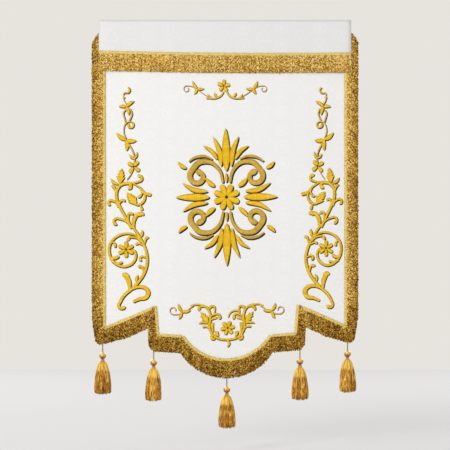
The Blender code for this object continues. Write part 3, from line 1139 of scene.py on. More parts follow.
def make_heading(path, chance):
    """The ribbed braid that holds the threads, with an uneven inner edge."""
    places, way = heading_places(path)
    rows = len(HEADING_ROUND)
    bm = mapped_grid(len(places), rows + 1, lambda column, row: Vector((column, row % rows, 0)))
    bmesh.ops.remove_doubles(bm, verts=bm.verts[:], dist=0.01)
    wander = [chance.uniform(-0.10, 0.05) for _ in places]
    for vert in bm.verts:
        i, row = round(vert.co.x), round(vert.co.y)
        across, height = HEADING_ROUND[row]
        point, out = places[i]
        rib = abs(math.sin(math.pi * (way[i] / HEADING_RIB + across * 0.9)))
        if across < 0.2 and way[i] > 0:
            across += wander[i] - 0.06 * rib
        spot = point + out * HEADING_WIDTH * max(across, 0.03 if way[i] < 0 else across)
        spot.y = path.base(spot.x) + HEADING_GAP * 0.5 - HEADING_THICK * height * (0.84 + 0.30 * rib)
        vert.co = spot
    for vert in bm.verts:
        vert.co.x *= path.sign
        if path.hangs:
            vert.co = hung(vert.co)
    bmesh.ops.holes_fill(bm, edges=[e for e in bm.edges if e.is_boundary])
    name = f"heading_{path.name}"
    return add_piece(name, mesh_from(bm, name), [finish("heading_gold")])


# Hem turned to the back, with its row of stitches

HEM_WIDTH = 0.015
HEM_THICK = 0.0011
HEM_COLUMN = 0.008
HEM_FROM = -0.112
HEM_ROUND = ((0.01, 0.0), (0.03, 0.8), (0.12, 1.0), (0.95, 1.0), (1.0, 0.0))
SEWN_AT = 0.86
SEWN_PITCH = 0.0044
SEWN_SHARE = 0.64
SEWN_RADIUS = 0.0005


def mitre(before, after):
    """How much longer a hem grows at a corner for each metre that it lies outside it."""
    turn = before.angle(after)
    outer = before.x * after.z - before.z * after.x < 0
    return math.tan(turn / 2) * (1 if outer else -1)


def hem_runs():
    """Each straight or round stretch of the right half's hem, with its mitres."""
    paths = [path for path in fringe_paths() if path.sign > 0 and path.hangs]
    runs = []
    for i, path in enumerate(paths):
        start, end = path.start, path.end
        if path.name != "bottom":
            start, end = AT[path.run.start], AT[path.run.end]
        if i == 0:
            start = Vector((start.x, 0, HEM_FROM))
        runs.append((start, end, path.bow))
    outs = [[path_point(*run, share)[1] for share in (0, 1)] for run in runs]
    slopes = [mitre(before[1], after[0]) for before, after in zip(outs, outs[1:])]
    return list(zip(runs, [0] + slopes, slopes + [slopes[-1]]))


def hem_spot(run, slope_start, slope_end, share, across):
    """A point on the cloth's back: across is nought at the cloth's edge and one inside the hem."""
    start, end, bow = run
    outside = HEM_MARGIN - HEM_WIDTH * across
    chord = (end - start).length
    low = -outside * slope_start / chord
    high = 1 + outside * slope_end / chord
    point, out = path_point(start, end, bow, low + (high - low) * share)
    return point + out * outside


def hem_strip(run, slope_start, slope_end, sign):
    count = max(2, round((run[1] - run[0]).length / HEM_COLUMN))

    def place(column, row):
        across, height = HEM_ROUND[row]
        spot = hem_spot(run, slope_start, slope_end, column / count, across)
        return hung(Vector((spot.x * sign, CLOTH_BACK + HEM_THICK * height, spot.z)))

    return mapped_grid(count + 1, len(HEM_ROUND), place)


def hem_stitches(template, run, slope_start, slope_end, sign):
    """Points of each stitch along one stretch."""
    shape = template_shape(template)
    count = round((run[1] - run[0]).length / SEWN_PITCH)
    places = []
    for i in range(count):
        start = hem_spot(run, slope_start, slope_end, i / count, SEWN_AT)
        end = hem_spot(run, slope_start, slope_end, (i + SEWN_SHARE) / count, SEWN_AT)
        along = (end - start).normalized()
        side = Vector((-along.z, 0, along.x))
        row = []
        for x, y, z in shape:
            spot = start.lerp(end, z) + side * (x * SEWN_RADIUS)
            arch = 1 - (2 * z - 1) ** 4
            spot.y = CLOTH_BACK + HEM_THICK * 0.7 + (0.5 + 0.5 * y) * SEWN_RADIUS * 1.6 * arch
            row.append(hung(Vector((spot.x * sign, spot.y, spot.z))))
        places.append(row)
    return places


def make_hem():
    bm = bmesh.new()
    template = thread_template(5, 4)
    stitches = []
    for run, slope_start, slope_end in hem_runs():
        for sign in (1,) if run[2] else (-1, 1):
            strip = hem_strip(run, slope_start, slope_end, sign)
            part = mesh_from(strip, "part")
            bm.from_mesh(part)
            bpy.data.meshes.remove(part)
            stitches += hem_stitches(template, run, slope_start, slope_end, sign)
    mesh = mesh_from(bm, "hem_back")
    flat = [(vert.co.x, vert.co.z) for vert in mesh.vertices]
    map_flat(mesh, flat)
    hem = add_piece("hem_back", mesh, [finish("damask_weave")])
    coords = np.zeros((len(stitches), len(template.vertices), 2))
    sewn = joined_copies("hem_stitches", template, np.array(stitches), coords)
    bpy.data.meshes.remove(template)
    return [hem, add_piece("hem_stitches", sewn, [finish("white_thread")])]


def make_fringes():
    values = bpy.context.scene.banner_fringe
    chance = random.Random(11)
    made = []
    for path in fringe_paths():
        made.append(make_threads(path, values.pitch, values.radius, values.curl, chance))
        made.append(make_heading(path, chance))
    return made


# Tassels

CordTwist = namedtuple("CordTwist", "plies ply_radius off_axis turn_length step sides")
CORD = CordTwist(2, 0.00115, 0.00088, 0.0060, 0.0008, 6)
BEAD_STEPS = 20
BEAD_SEGMENTS = 36
BEAD_HOLE = 0.0022

SkirtSection = namedtuple("SkirtSection", "drop radius")
SKIRT = (
    SkirtSection(0.0040, 0.0046),
    SkirtSection(0.0055, 0.0050),
    SkirtSection(0.0080, 0.0090),
    SkirtSection(0.0120, 0.0122),
    SkirtSection(0.0200, 0.0150),
    SkirtSection(0.0310, 0.0184),
    SkirtSection(0.0480, 0.0220),
    SkirtSection(0.0640, 0.0240),
    SkirtSection(0.0840, 0.0248),
    SkirtSection(0.0930, 0.0237),
    SkirtSection(0.0980, 0.0198),
)
SKIRT_SIDES = 4
SKIRT_SECTIONS = 16
SKIRT_LAYERS = ((1.0, 1.0), (0.90, 0.9), (0.62, 0.5))
LOCK_THREADS = 3
CORE_SHARE = 0.86
NECK_TURNS = 4
NECK_RADIUS = 0.0052
NECK_YARN = 0.0008


def skirt_radius(drop):
    """The tassel's outer radius at a drop, smooth through its named sections."""
    drops = np.array([s.drop for s in SKIRT])
    radii = np.array([s.radius for s in SKIRT])
    slopes = np.gradient(radii, drops)
    place = np.clip(drop, drops[0], drops[-1])
    i = np.clip(np.searchsorted(drops, place) - 1, 0, len(drops) - 2)
    width = drops[i + 1] - drops[i]
    t = (place - drops[i]) / width
    start = radii[i] * (1 + 2 * t) * (1 - t) ** 2 + slopes[i] * width * t * (1 - t) ** 2
    return start + radii[i + 1] * t * t * (3 - 2 * t) + slopes[i + 1] * width * t * t * (t - 1)


def make_strands(name, top, count, chance):
    """The skirt's yarn: it fans out from the neck, gathers into clumps and waves towards the ends."""
    template = thread_template(SKIRT_SIDES, SKIRT_SECTIONS)
    shape = template_shape(template)
    along = shape[:, 2]
    clumps = [chance.uniform(0, 2 * math.pi) for _ in range(14)]
    places, tints = [], []
    for share, part in SKIRT_LAYERS:
        number = round(count * part)
        for i in range(number):
            if i % LOCK_THREADS == 0:
                lock_tint = chance.random()
            turn = 2 * math.pi * (i + chance.uniform(-0.3, 0.3)) / number
            pull = min(clumps, key=lambda c: abs(math.remainder(c - turn, 2 * math.pi)))
            drawn = math.remainder(pull - turn, 2 * math.pi)
            end = SKIRT[-1].drop + chance.uniform(-0.0026, 0.0008) - 0.010 * max(0, share - 0.62)
            start = SKIRT[0].drop
            drop = start + (end - start) * along ** 0.92
            ripple = chance.uniform(0.5, 1.6) * 0.0011
            length = chance.uniform(0.015, 0.030)
            phase = chance.uniform(0, 2 * math.pi)
            late = np.clip((drop - 0.022) / 0.045, 0, 1)
            wave = ripple * late * np.sin(2 * math.pi * drop / length + phase)
            reach = skirt_radius(drop) * share - np.abs(ripple * late) * 0.8
            reach = reach - late * abs(drawn) * 0.003
            angle = turn + drawn * 0.32 * late + wave / np.maximum(reach, 0.004)
            thick = np.clip(math.pi * skirt_radius(drop) / count, 0.0003, 0.00105) * 1.25
            thick = thick * np.where(along > 0.98, 0.6, 1)
            across = shape[:, 0] * thick
            deep = shape[:, 1] * thick * 0.9
            out = reach + deep - thick * 0.9
            x = np.cos(angle) * out - np.sin(angle) * across
            y = np.sin(angle) * out + np.cos(angle) * across
            places.append(np.stack([x, y, -drop], axis=1) + np.array(top))
            tint = lock_tint * 0.85 + chance.random() * 0.15
            tints.append(np.stack([along, np.full_like(along, tint)], axis=1))
    mesh = joined_copies(name, template, np.array(places), np.array(tints))
    bpy.data.meshes.remove(template)
    return mesh


def spun(profile, segments):
    """A round shape from its (radius, height) profile, closed on the axis."""
    bm = bmesh.new()
    verts = [bm.verts.new((radius, 0, height)) for radius, height in profile]
    edges = [bm.edges.new(pair) for pair in zip(verts, verts[1:])]
    bmesh.ops.spin(
        bm, geom=verts + edges, cent=(0, 0, 0), axis=(0, 0, 1), angle=2 * math.pi,
        steps=segments, use_merge=True,
    )
    bmesh.ops.remove_doubles(bm, verts=bm.verts[:], dist=1e-6)
    return bm


def make_core(top):
    """The mass of yarn inside the skirt, closed below, so that no light shows through."""
    ends = SKIRT[-1].drop - 0.008
    drops = [SKIRT[0].drop + (ends - SKIRT[0].drop) * i / 16 for i in range(17)]
    profile = [(0, -SKIRT[0].drop)]
    profile += [(float(skirt_radius(d)) * CORE_SHARE, -d) for d in drops]
    profile.append((0, -ends))
    bm = spun(profile, 28)
    bmesh.ops.translate(bm, vec=top, verts=bm.verts[:])
    return bm


def make_neck(bm, top):
    """Turns of yarn wound round the neck, from the bead down to the head."""
    for i in range(NECK_TURNS):
        ring = bmesh.new()
        bmesh.ops.create_circle(ring, segments=7, radius=NECK_YARN * 1.15)
        bmesh.ops.rotate(ring, matrix=QUARTER_TURN, verts=ring.verts[:])
        bmesh.ops.translate(ring, vec=(NECK_RADIUS - NECK_YARN, 0, 0), verts=ring.verts[:])
        bmesh.ops.spin(
            ring, geom=ring.verts[:] + ring.edges[:], cent=(0, 0, 0), axis=(0, 0, 1),
            angle=2 * math.pi, steps=24, use_merge=True,
        )
        down = -NECK_YARN * (1.2 + 1.8 * i)
        bmesh.ops.translate(ring, vec=Vector(top) + Vector((0, 0, down)), verts=ring.verts[:])
        bmesh.ops.recalc_face_normals(ring, faces=ring.faces[:])
        turned = bpy.data.meshes.new("ring")
        ring.to_mesh(turned)
        ring.free()
        bm.from_mesh(turned)
        bpy.data.meshes.remove(turned)


def make_skirt(number, top, chance):
    values = bpy.context.scene.banner_tassels
    name = f"tassel_yarn_{number}"
    strands = make_strands(name, top, values.threads, chance)
    bm = make_core(top)
    bmesh.ops.recalc_face_normals(bm, faces=bm.faces[:])
    make_neck(bm, top)
    layer = bm.loops.layers.uv.new("Thread")
    for face in bm.faces:
        for loop in face.loops:
            loop[layer].uv = (max(0, (top.z - loop.vert.co.z) / SKIRT[-1].drop), 0.3)
    bm.from_mesh(strands)
    bpy.data.meshes.remove(strands)
    mesh = mesh_from(bm, name, recalc=False)
    add_piece(name, mesh, [finish("tassel_yarn")], [f"tassel_skirt_{number}"])


def make_bead(number, centre):
    """A turned bead, which keeps the height of each point for its finish's painted highlight above and painted
    shade below.
    """
    profile = [(BEAD_HOLE * 0.5, BEAD_RADIUS * 0.90)]
    profile.append((BEAD_HOLE, BEAD_RADIUS * 0.985))
    for i in range(BEAD_STEPS + 1):
        turn = math.pi * (0.09 + 0.82 * i / BEAD_STEPS)
        profile.append((BEAD_RADIUS * math.sin(turn), BEAD_RADIUS * math.cos(turn)))
    profile.append((BEAD_HOLE, -BEAD_RADIUS * 0.985))
    profile.append((BEAD_HOLE * 0.5, -BEAD_RADIUS * 0.90))
    profile = [(0, profile[0][1])] + profile + [(0, profile[-1][1])]
    bm = spun(profile, BEAD_SEGMENTS)
    layer = bm.loops.layers.uv.new("Thread")
    for face in bm.faces:
        for loop in face.loops:
            loop[layer].uv = (0.5 + 0.5 * loop.vert.co.z / BEAD_RADIUS, 0.5)
    bmesh.ops.translate(bm, vec=centre, verts=bm.verts[:])
    name = f"bead_{number}"
    add_piece(name, mesh_from(bm, name), [finish("bead_polish")], [f"tassel_bead_{number}"])


def make_cord(number, top, bottom):
    """Two plies twisted round each other."""
    height = top.z - bottom.z
    count = max(2, round(height / CORD.step))
    template = thread_template(CORD.sides, count + 1)
    shape = template_shape(template)
    along = shape[:, 2]
    places, tints = [], []
    for ply in range(CORD.plies):
        angle = 2 * math.pi * (along * height / CORD.turn_length + ply / CORD.plies)
        x = bottom.x + (top.x - bottom.x) * along + np.cos(angle) * CORD.off_axis
        y = bottom.y + (top.y - bottom.y) * along + np.sin(angle) * CORD.off_axis
        z = bottom.z + height * along
        x = x + shape[:, 0] * CORD.ply_radius
        y = y + shape[:, 1] * CORD.ply_radius
        places.append(np.stack([x, y, z], axis=1))
        tints.append(np.stack([along, np.full_like(along, ply)], axis=1))
    name = f"cord_{number}"
    mesh = joined_copies(name, template, np.array(places), np.array(tints))
    bpy.data.meshes.remove(template)
    add_piece(name, mesh, [finish("cord_twist")], [f"tassel_cord_{number}"])


def make_tassels():
    chance = random.Random(5)
    for number, tassel in enumerate(TASSELS, 1):
        bead = hung(Vector((tassel.x, CLOTH_Y + CORD_SET_BACK, tassel.bead_z)))
        edge = hung(Vector((tassel.x, CLOTH_Y + CORD_SET_BACK, hem_height(tassel.x))))
        make_cord(number, edge, bead + Vector((0, 0, BEAD_RADIUS * 0.9)))
        make_bead(number, bead)
        make_skirt(number, bead - Vector((0, 0, BEAD_RADIUS + TOUCH_GAP)), chance)


# Embroidery, in squares: x from the middle line and y down from the top fold

SQUARE = 0.0027778
STITCH_SIDES = 8
SHADOW_EDGING_SIDES = 4
STITCH_STEP = 0.34
SECTION_CHOICES = (12, 20, 32, 52, 80, 120)
SUNK = 0.0002
# The dark edging: outline thread round each stroke, shifted down and to the right as a painted shadow
SHADOW_EDGING_HEIGHT = 0.0010
SHADOW_SHIFT = (0.52, 0.60)
SHADOW_EDGING_MARGIN = 0.62
HEART_SHARE = 0.13
BOLD = 1.22
BULB = 0.45
ORNAMENT_MIDDLE = 177

Stroke = namedtuple("Stroke", "kind points start middle end curl turns", defaults=(0, 0))


def satin(points, start, middle, end, curl=0, turns=0):
    return Stroke("satin", points, start, middle, end, curl, turns)


def stem(points, width=1.6, curl=0, turns=0):
    return Stroke("stem", points, width, width, width, curl, turns)


def leaf(base, tip, width, bend=0.0):
    """A pointed leaf, bowed to one side by a share of its length."""
    across = (tip[1] - base[1], base[0] - tip[0])
    middle = [(b + t) / 2 + bend * a for b, t, a in zip(base, tip, across)]
    return Stroke("leaf", (base, tuple(middle), tip), 0.5, width, 0.25)


def flower(centre, petals, length, width, turn=0.0):
    """Petals round a dark heart."""
    strokes = []
    heart = length * HEART_SHARE
    for i in range(petals):
        angle = turn + 2 * math.pi * i / petals
        away = (math.sin(angle), -math.cos(angle))
        inner = tuple(c + a * heart * 0.6 for c, a in zip(centre, away))
        outer = tuple(c + a * length for c, a in zip(centre, away))
        strokes.append(Stroke("petal", (inner, outer), 1.0, width, width * 0.72))
    low = (centre[0], centre[1] + heart)
    high = (centre[0], centre[1] - heart)
    strokes.append(Stroke("heart", (low, high), heart * 2, heart * 2, heart * 2))
    return strokes


def three_leaf(centre, tips, width):
    return [leaf(centre, tip, width, bend) for tip, bend in zip(tips, (0.08, -0.08, 0.06))]


def acanthus(base, tip, width, lobes=3):
    """A broad leaf with pointed lobes on both sides."""
    strokes = [leaf(base, tip, width * 0.62)]
    along = (tip[0] - base[0], tip[1] - base[1])
    across = (-along[1], along[0])
    size = math.hypot(*along)
    for i in range(lobes):
        root = 0.05 + 0.55 * i / lobes
        end = root + 0.42
        out = 0.5 * width / size * (1.0 - 0.22 * i)
        for side in (-1, 1):
            start = [b + a * root for b, a in zip(base, along)]
            point = [b + a * end + side * c * out for b, a, c in zip(base, along, across)]
            strokes.append(leaf(tuple(start), tuple(point), width * 0.36, 0.10 * side))
    return strokes


def vine():
    """The left vine, from its top tendril down to the lower curls."""
    rows = [
        satin(((-100.6, 76), (-99.4, 73.6), (-95.6, 73.4), (-94, 70.6), (-95.8, 67.8)), 1.1, 1.5, 1.4),
        stem(((-97, 85.4), (-99.6, 81.6), (-100.6, 76.5)), 1.2),
        satin(((-100.4, 77.5), (-99.6, 79.2)), 1.6, 2.6, 2.8),
        *three_leaf((-97.5, 87.4), ((-89.4, 81.7), (-105.2, 87.4), (-95, 96)), 3.6),
        stem(((-98.6, 90), (-100.6, 94), (-99.4, 99.4), (-98.4, 103))),
        stem(((-94, 89), (-92.2, 94.6), (-95.1, 102))),
        satin(((-99.4, 105.6), (-97.4, 103), (-94.6, 102.2)), 1.0, 1.4, 1.7, 3.6, 0.95),
        stem(((-99.4, 105), (-100.4, 110), (-100, 114.7), (-98, 119)), 1.2),
        *three_leaf((-98, 120.5), ((-107.6, 113.3), (-88, 121), (-98, 131.5)), 4.6),
        stem(((-96, 123.5), (-91.6, 132.5), (-90.3, 139.3), (-91, 146))),
        leaf((-90.3, 139.3), (-95.6, 134.3), 2.4, 0.1),
        leaf((-90.3, 139.3), (-87.5, 132), 2.4, -0.1),
        *flower((-91, 147), 4, 7.2, 4.2, 0.65),
        stem(((-92, 150.5), (-94.6, 155.5), (-98, 160)), 1.1),
    ]
    rows += [
        *acanthus((-104.7, 163.7), (-102.6, 148.4), 8.5),
        leaf((-106, 164.5), (-113.5, 158.4), 3.2, 0.12),
        satin(((-93.7, 208.7), (-99, 198), (-104.6, 187), (-108, 177), (-107, 169),
               (-102.5, 164.2), (-97, 163.2)), 2.0, 2.5, 2.6, 3.1, 0.62),
        satin(((-99, 162.6), (-90.3, 162.8), (-85, 161.4)), 1.2, 1.8, 2.4, 3.1, -0.62),
        satin(((-93, 163), (-85.6, 167.5), (-80.5, 173.2), (-73.8, 175.3)), 1.2, 1.8, 3.2),
        satin(((-84.8, 168.4), (-83.2, 172.6), (-84.8, 176)), 1.4, 1.8, 2.0, 1.6, 0.4),
        satin(((-81, 173), (-80.3, 177.5), (-82.6, 182.2), (-87, 184.8), (-91, 184)), 1.6, 2.3, 1.4),
        *acanthus((-89, 184.8), (-98.2, 172.4), 9.5),
        satin(((-85, 184.4), (-84.2, 187.5), (-83, 190.6)), 1.2, 2.0, 3.1),
        satin(((-107.9, 176), (-108.6, 170.6), (-110.6, 167)), 1.3, 1.8, 2.2, 1.4, -0.35),
        satin(((-106, 187.4), (-108.6, 182.2), (-112, 180.3)), 1.4, 2.0, 2.2, 2.8, -0.62),
        satin(((-104.8, 188), (-105.4, 183.4), (-103.4, 180.6)), 1.3, 1.8, 2.1, 1.7, 0.5),
        satin(((-96, 203.6), (-101, 200), (-106.6, 198.2)), 1.4, 2.0, 2.3, 3.6, -0.62),
        satin(((-94.2, 206.4), (-97, 199.8), (-96.9, 195)), 1.4, 1.9, 2.2, 2.2, 0.55),
        satin(((-91.6, 209.6), (-91.8, 201), (-88.6, 195), (-84.6, 194.2)), 1.6, 3.8, 3.0, 2.0, 0.3),
    ]
    rows += [
        satin(((-94, 205), (-87.5, 214.4), (-81, 226.5), (-78.2, 240), (-81.6, 253.5),
               (-90.8, 266), (-101, 275.4), (-105.8, 284)), 1.8, 2.6, 2.4, 3.4, -0.62),
        satin(((-84, 219.5), (-90.5, 214.9), (-98.5, 213.3), (-107.6, 216.2), (-113.4, 222.6), (-115, 230),
               (-113, 238.2), (-107.4, 244.2), (-100.5, 246.3), (-94.4, 244.2), (-90.6, 239.8),
               (-89.6, 234.6), (-91.2, 230.8), (-94.2, 229.6)), 1.6, 2.3, 2.0),
        satin(((-83.6, 222.4), (-88.6, 218), (-93.6, 216.8)), 1.3, 1.8, 2.2, 3.4, -0.38),
        satin(((-80.8, 226), (-86, 223.4)), 1.2, 1.6, 2.0, 2.8, -0.32),
        *flower((-99, 229.3), 6, 8.2, 4.0, 0.0),
        satin(((-112.4, 220.9), (-109.6, 223.4), (-109.2, 227.4)), 1.2, 1.8, 2.6),
        satin(((-113.2, 237.2), (-109.4, 238), (-105.4, 235.6)), 1.6, 2.8, 2.6),
        satin(((-113, 241), (-107.4, 243.4), (-102, 241.8)), 1.2, 1.9, 2.2),
        leaf((-84.6, 217), (-83.4, 209.6), 3.2, -0.08),
        satin(((-81.2, 224), (-80, 219)), 1.3, 1.9, 2.2, 1.8, 0.42),
        satin(((-78.6, 238), (-82.6, 236.4)), 1.3, 1.8, 2.1, 2.4, -0.6),
        satin(((-81.8, 253.4), (-82.6, 248.4)), 1.3, 1.9, 2.2, 3.0, -0.42),
        leaf((-89.2, 262), (-87.4, 254.6), 3.0, 0.08),
        satin(((-95.4, 269.6), (-96.2, 262), (-98, 256.8)), 2.0, 4.2, 3.6, 3.0, -0.35),
        satin(((-94, 269.2), (-88.6, 267), (-83, 266.8), (-78.8, 269.2), (-77.4, 273.4),
               (-80, 277.6), (-86, 278.8), (-92.6, 281.8)), 1.8, 4.0, 2.2),
    ]
    return rows


def top_sprig():
    """The left half of the spray above, from its middle flower outwards."""
    return [
        satin(((-1.5, 71.5), (-4.5, 76), (-10, 78.4), (-18, 78.2)), 1.4, 1.5, 1.2, 2.4, -0.10),
        satin(((-7.5, 77.6), (-9.8, 75.2)), 1.0, 1.5, 1.7, 1.6, 0.3),
        leaf((-13.6, 78.2), (-17.4, 73.8), 2.0, 0.1),
        stem(((-13.5, 78), (-20, 75), (-26.5, 70.5), (-33, 66.6), (-38, 65.8)), 0.9, 3.4, -0.95),
        *three_leaf((-28, 68.4), ((-32.6, 61), (-20.6, 68.8), (-31, 74.6)), 2.9),
    ]


def bottom_sprig():
    """The left half of the spray below, with its scrolls round the middle flower."""
    return [
        stem(((-33.6, 285.6), (-40, 290), (-46, 293.4), (-53, 294)), 1.0, 4.2, 0.85),
        *three_leaf((-45, 290.6), ((-48.6, 283), (-35.6, 289.8), (-48, 299)), 3.2),
        satin(((-36.4, 285.6), (-32, 284.2), (-24, 285), (-19.4, 288), (-16.6, 294.6),
               (-17, 301.4), (-17.6, 306), (-14.4, 314), (-8, 318.4), (0.6, 319.8)), 1.2, 2.3, 1.8),
        satin(((-33, 285), (-36, 286.6)), 1.0, 1.8, 1.2),
        satin(((-20.6, 286.6), (-24.4, 285.8)), 1.2, 1.9, 2.4, 3.2, -0.42),
        satin(((-15.8, 295.8), (-11.4, 293.8)), 1.4, 1.8, 2.2, 3.8, 0.48),
        satin(((-12.6, 294), (-12, 288.6)), 1.2, 1.8, 2.2, 3.0, -0.62),
        satin(((-16.6, 299.8), (-12.8, 297.8)), 1.3, 1.8, 2.4, 1.8, 0.32),
        *acanthus((-18.6, 302), (-26.4, 291.4), 7.2, 2),
        leaf((-18.4, 303), (-28.4, 303.4), 2.8, -0.12),
        satin(((-17, 308.8), (-20.6, 306.4), (-24.4, 306.6)), 1.0, 1.4, 2.0),
        satin(((-13.8, 312), (-14.8, 305.8)), 1.6, 2.4, 2.6, 2.2, 0.32),
        satin(((-8.6, 316.4), (-10.4, 311.6)), 1.6, 2.6, 2.0, 1.6, 0.12),
        satin(((-13.6, 312.6), (-15.2, 316)), 1.6, 2.4, 2.4, 2.0, -0.55),
    ]


def ornament_scrolls():
    """A quarter of the scrolls round the middle rosette, turned over to make the half."""
    rows = [
        satin(((-3.4, 163), (-6.4, 151), (-15, 142.4), (-27, 142.4), (-35, 151)), 2.0, 5.0, 4.0, 8.2, -0.95),
        satin(((-13.5, 139.4), (-21, 136.2), (-31, 137.4), (-37.5, 141.5)), 1.2, 2.6, 1.4),
    ]
    return rows + turned_over(rows)


def ornament_leaves():
    rows = [
        leaf((-5.0, 146.5), (-13, 116), 5.6, -0.07),
        leaf((-8.6, 139.5), (-23, 125.5), 4.4, -0.10),
        leaf((-18.5, 171.4), (-44.5, 162.6), 5.2, 0.10),
        leaf((-11.6, 166.6), (-21.4, 157.4), 5.0, 0.05),
        leaf((-39.6, 148.4), (-48.4, 141.4), 4.2, 0.08),
    ]
    return rows + turned_over(rows)


def turned_over(rows):
    """The same strokes upside down about the middle of the ornament."""
    flipped = []
    for row in rows:
        points = tuple((x, 2 * ORNAMENT_MIDDLE - y) for x, y in row.points)
        flipped.append(row._replace(points=points, turns=-row.turns))
    return flipped


def ornament_middle():
    """The strokes on the ornament's own middle lines."""
    rows = [leaf((0, 151), (0, 108), 8.8), satin(((0, 162.4), (0, 153)), 1.2, 2.4, 1.2)]
    sides = [leaf((-17, ORNAMENT_MIDDLE), (-51, ORNAMENT_MIDDLE), 8.0)]
    petals = flower((0, ORNAMENT_MIDDLE), 8, 13.4, 6.3, math.pi / 8)
    return rows + turned_over(rows) + sides + mirrored(sides) + petals


def mirrored(rows):
    return [row._replace(points=tuple((-x, y) for x, y in row.points), turns=-row.turns) for row in rows]


def moved(rows, across, down):
    return [row._replace(points=tuple((x + across, y + down) for x, y in row.points)) for row in rows]


# From strokes to stitched ribbons

def smooth_line(points, step):
    """Evenly spaced points of a smooth curve through a few points."""
    points = np.array(points, dtype=float)
    if len(points) == 2:
        points = np.array([points[0], points.mean(axis=0), points[1]])
    ends = np.vstack([2 * points[0] - points[1], points, 2 * points[-1] - points[-2]])
    gaps = np.linalg.norm(np.diff(ends, axis=0), axis=1) ** 0.5
    knots = np.concatenate([[0], np.cumsum(gaps)])
    fine = []
    for i in range(1, len(ends) - 2):
        t = np.linspace(knots[i], knots[i + 1], 24, endpoint=False)[:, None]
        a = [ends[i - 1 + k] + (ends[i + k] - ends[i - 1 + k]) * (t - knots[i - 1 + k]) / gaps[i - 1 + k]
             for k in range(3)]
        b = [a[k] + (a[k + 1] - a[k]) * (t - knots[i - 1 + k]) / (knots[i + 1 + k] - knots[i - 1 + k])
             for k in range(2)]
        fine.append(b[0] + (b[1] - b[0]) * (t - knots[i]) / gaps[i])
    fine.append(points[-1:])
    return np.vstack(fine)


def with_curl(line, radius, turns):
    """The line with a closing spiral at its end; a positive turn is clockwise as seen."""
    if not turns:
        return line
    heading = line[-1] - line[-2]
    turn = math.atan2(heading[1], heading[0])
    hand = math.copysign(1, turns)
    count = max(6, round(abs(turns) * 26))
    step = 2 * math.pi * abs(turns) / count
    place = line[-1]
    added = []
    for i in range(count):
        now = radius * (1 - 0.55 * i / count)
        turn += hand * step
        place = place + now * step * np.array((math.cos(turn), math.sin(turn)))
        added.append(place)
    return np.vstack([line, added])


def stroke_widths(row, share, distance, length):
    """Half widths along a stroke, with ends rounded off or drawn to a point."""
    if row.kind == "leaf":
        full = row.middle * np.sin(math.pi * share**0.8) ** 0.75
        return np.maximum(full, 0.22) / 2
    if row.kind == "petal":
        full = row.start + (row.middle - row.start) * np.sin(math.pi / 2 * np.clip(share / 0.62, 0, 1))
    else:
        low = row.start + (row.middle - row.start) * np.clip(share * 2, 0, 1)
        full = np.where(share < 0.5, low, row.middle + (row.end - row.middle) * (share * 2 - 1))
    if row.kind == "satin":
        full = full * BOLD
    if row.kind == "satin" and row.turns:
        full = full * (1 + BULB * np.clip(1.6 - (length - distance) / row.end, 0, 1))
    half = full / 2
    for gap in (distance, length - distance):
        cap = np.clip(gap / np.maximum(half, 0.05), 0, 1)
        half = half * np.sqrt(np.maximum(1 - (1 - cap) ** 2, 0.01))
    return half


def stroke_line(row):
    line = with_curl(smooth_line(row.points, STITCH_STEP), row.curl, row.turns)
    reach = np.concatenate([[0], np.cumsum(np.linalg.norm(np.diff(line, axis=0), axis=1))])
    wanted = reach[-1] / STITCH_STEP
    sections = next((n for n in SECTION_CHOICES if n >= wanted * 0.75), SECTION_CHOICES[-1])
    even = 0.5 - 0.5 * np.cos(np.linspace(0, math.pi, sections))
    share = 0.35 * even + 0.65 * np.linspace(0, 1, sections)
    distance = share * reach[-1]
    spots = np.stack([np.interp(distance, reach, line[:, k]) for k in range(2)], axis=1)
    tangent = np.gradient(spots, distance, axis=0)
    tangent /= np.linalg.norm(tangent, axis=1, keepdims=True)
    return spots, tangent, stroke_widths(row, share, distance, reach[-1]), distance


def ribbon(row, template, shape, sections, height, widen, shift):
    """Points and stitch coordinates of one stroke as a domed ribbon on the cloth."""
    spots, tangent, half, distance = stroke_line(row)
    ring = len(shape) // sections
    order = np.round(shape[:, 2] * (sections - 1)).astype(int)
    side = np.stack([tangent[:, 1], -tangent[:, 0]], axis=1)
    half = half + np.minimum(widen, half * 0.55)
    across = shape[:, 0] * half[order]
    flat = spots[order] + side[order] * across[:, None] + np.array(shift)
    lift = np.minimum(1, half / 1.3) ** 0.6
    rise = np.maximum(0, shape[:, 1]) * height * lift[order]
    points = np.stack([flat[:, 0] * SQUARE, CLOTH_FRONT + SUNK - rise, -flat[:, 1] * SQUARE], axis=1)
    coords = np.stack([distance[order] * SQUARE, shape[:, 0]], axis=1)
    return points, coords


def ribbons(name, rows, sides, height, widen=0.0, shift=(0.0, 0.0)):
    """One mesh of all strokes."""
    groups = {}
    for row in rows:
        groups.setdefault(len(stroke_line(row)[0]), []).append(row)
    bm = bmesh.new()
    for sections, group in sorted(groups.items()):
        template = thread_template(sides, sections)
        shape = template_shape(template)
        made = [ribbon(row, template, shape, sections, height, widen, shift) for row in group]
        points = hung_points(np.array([m[0] for m in made]))
        part = joined_copies("part", template, points, np.array([m[1] for m in made]))
        part.uv_layers[0].name = "Stitch"
        bm.from_mesh(part)
        bpy.data.meshes.remove(part)
        bpy.data.meshes.remove(template)
    return mesh_from(bm, name)


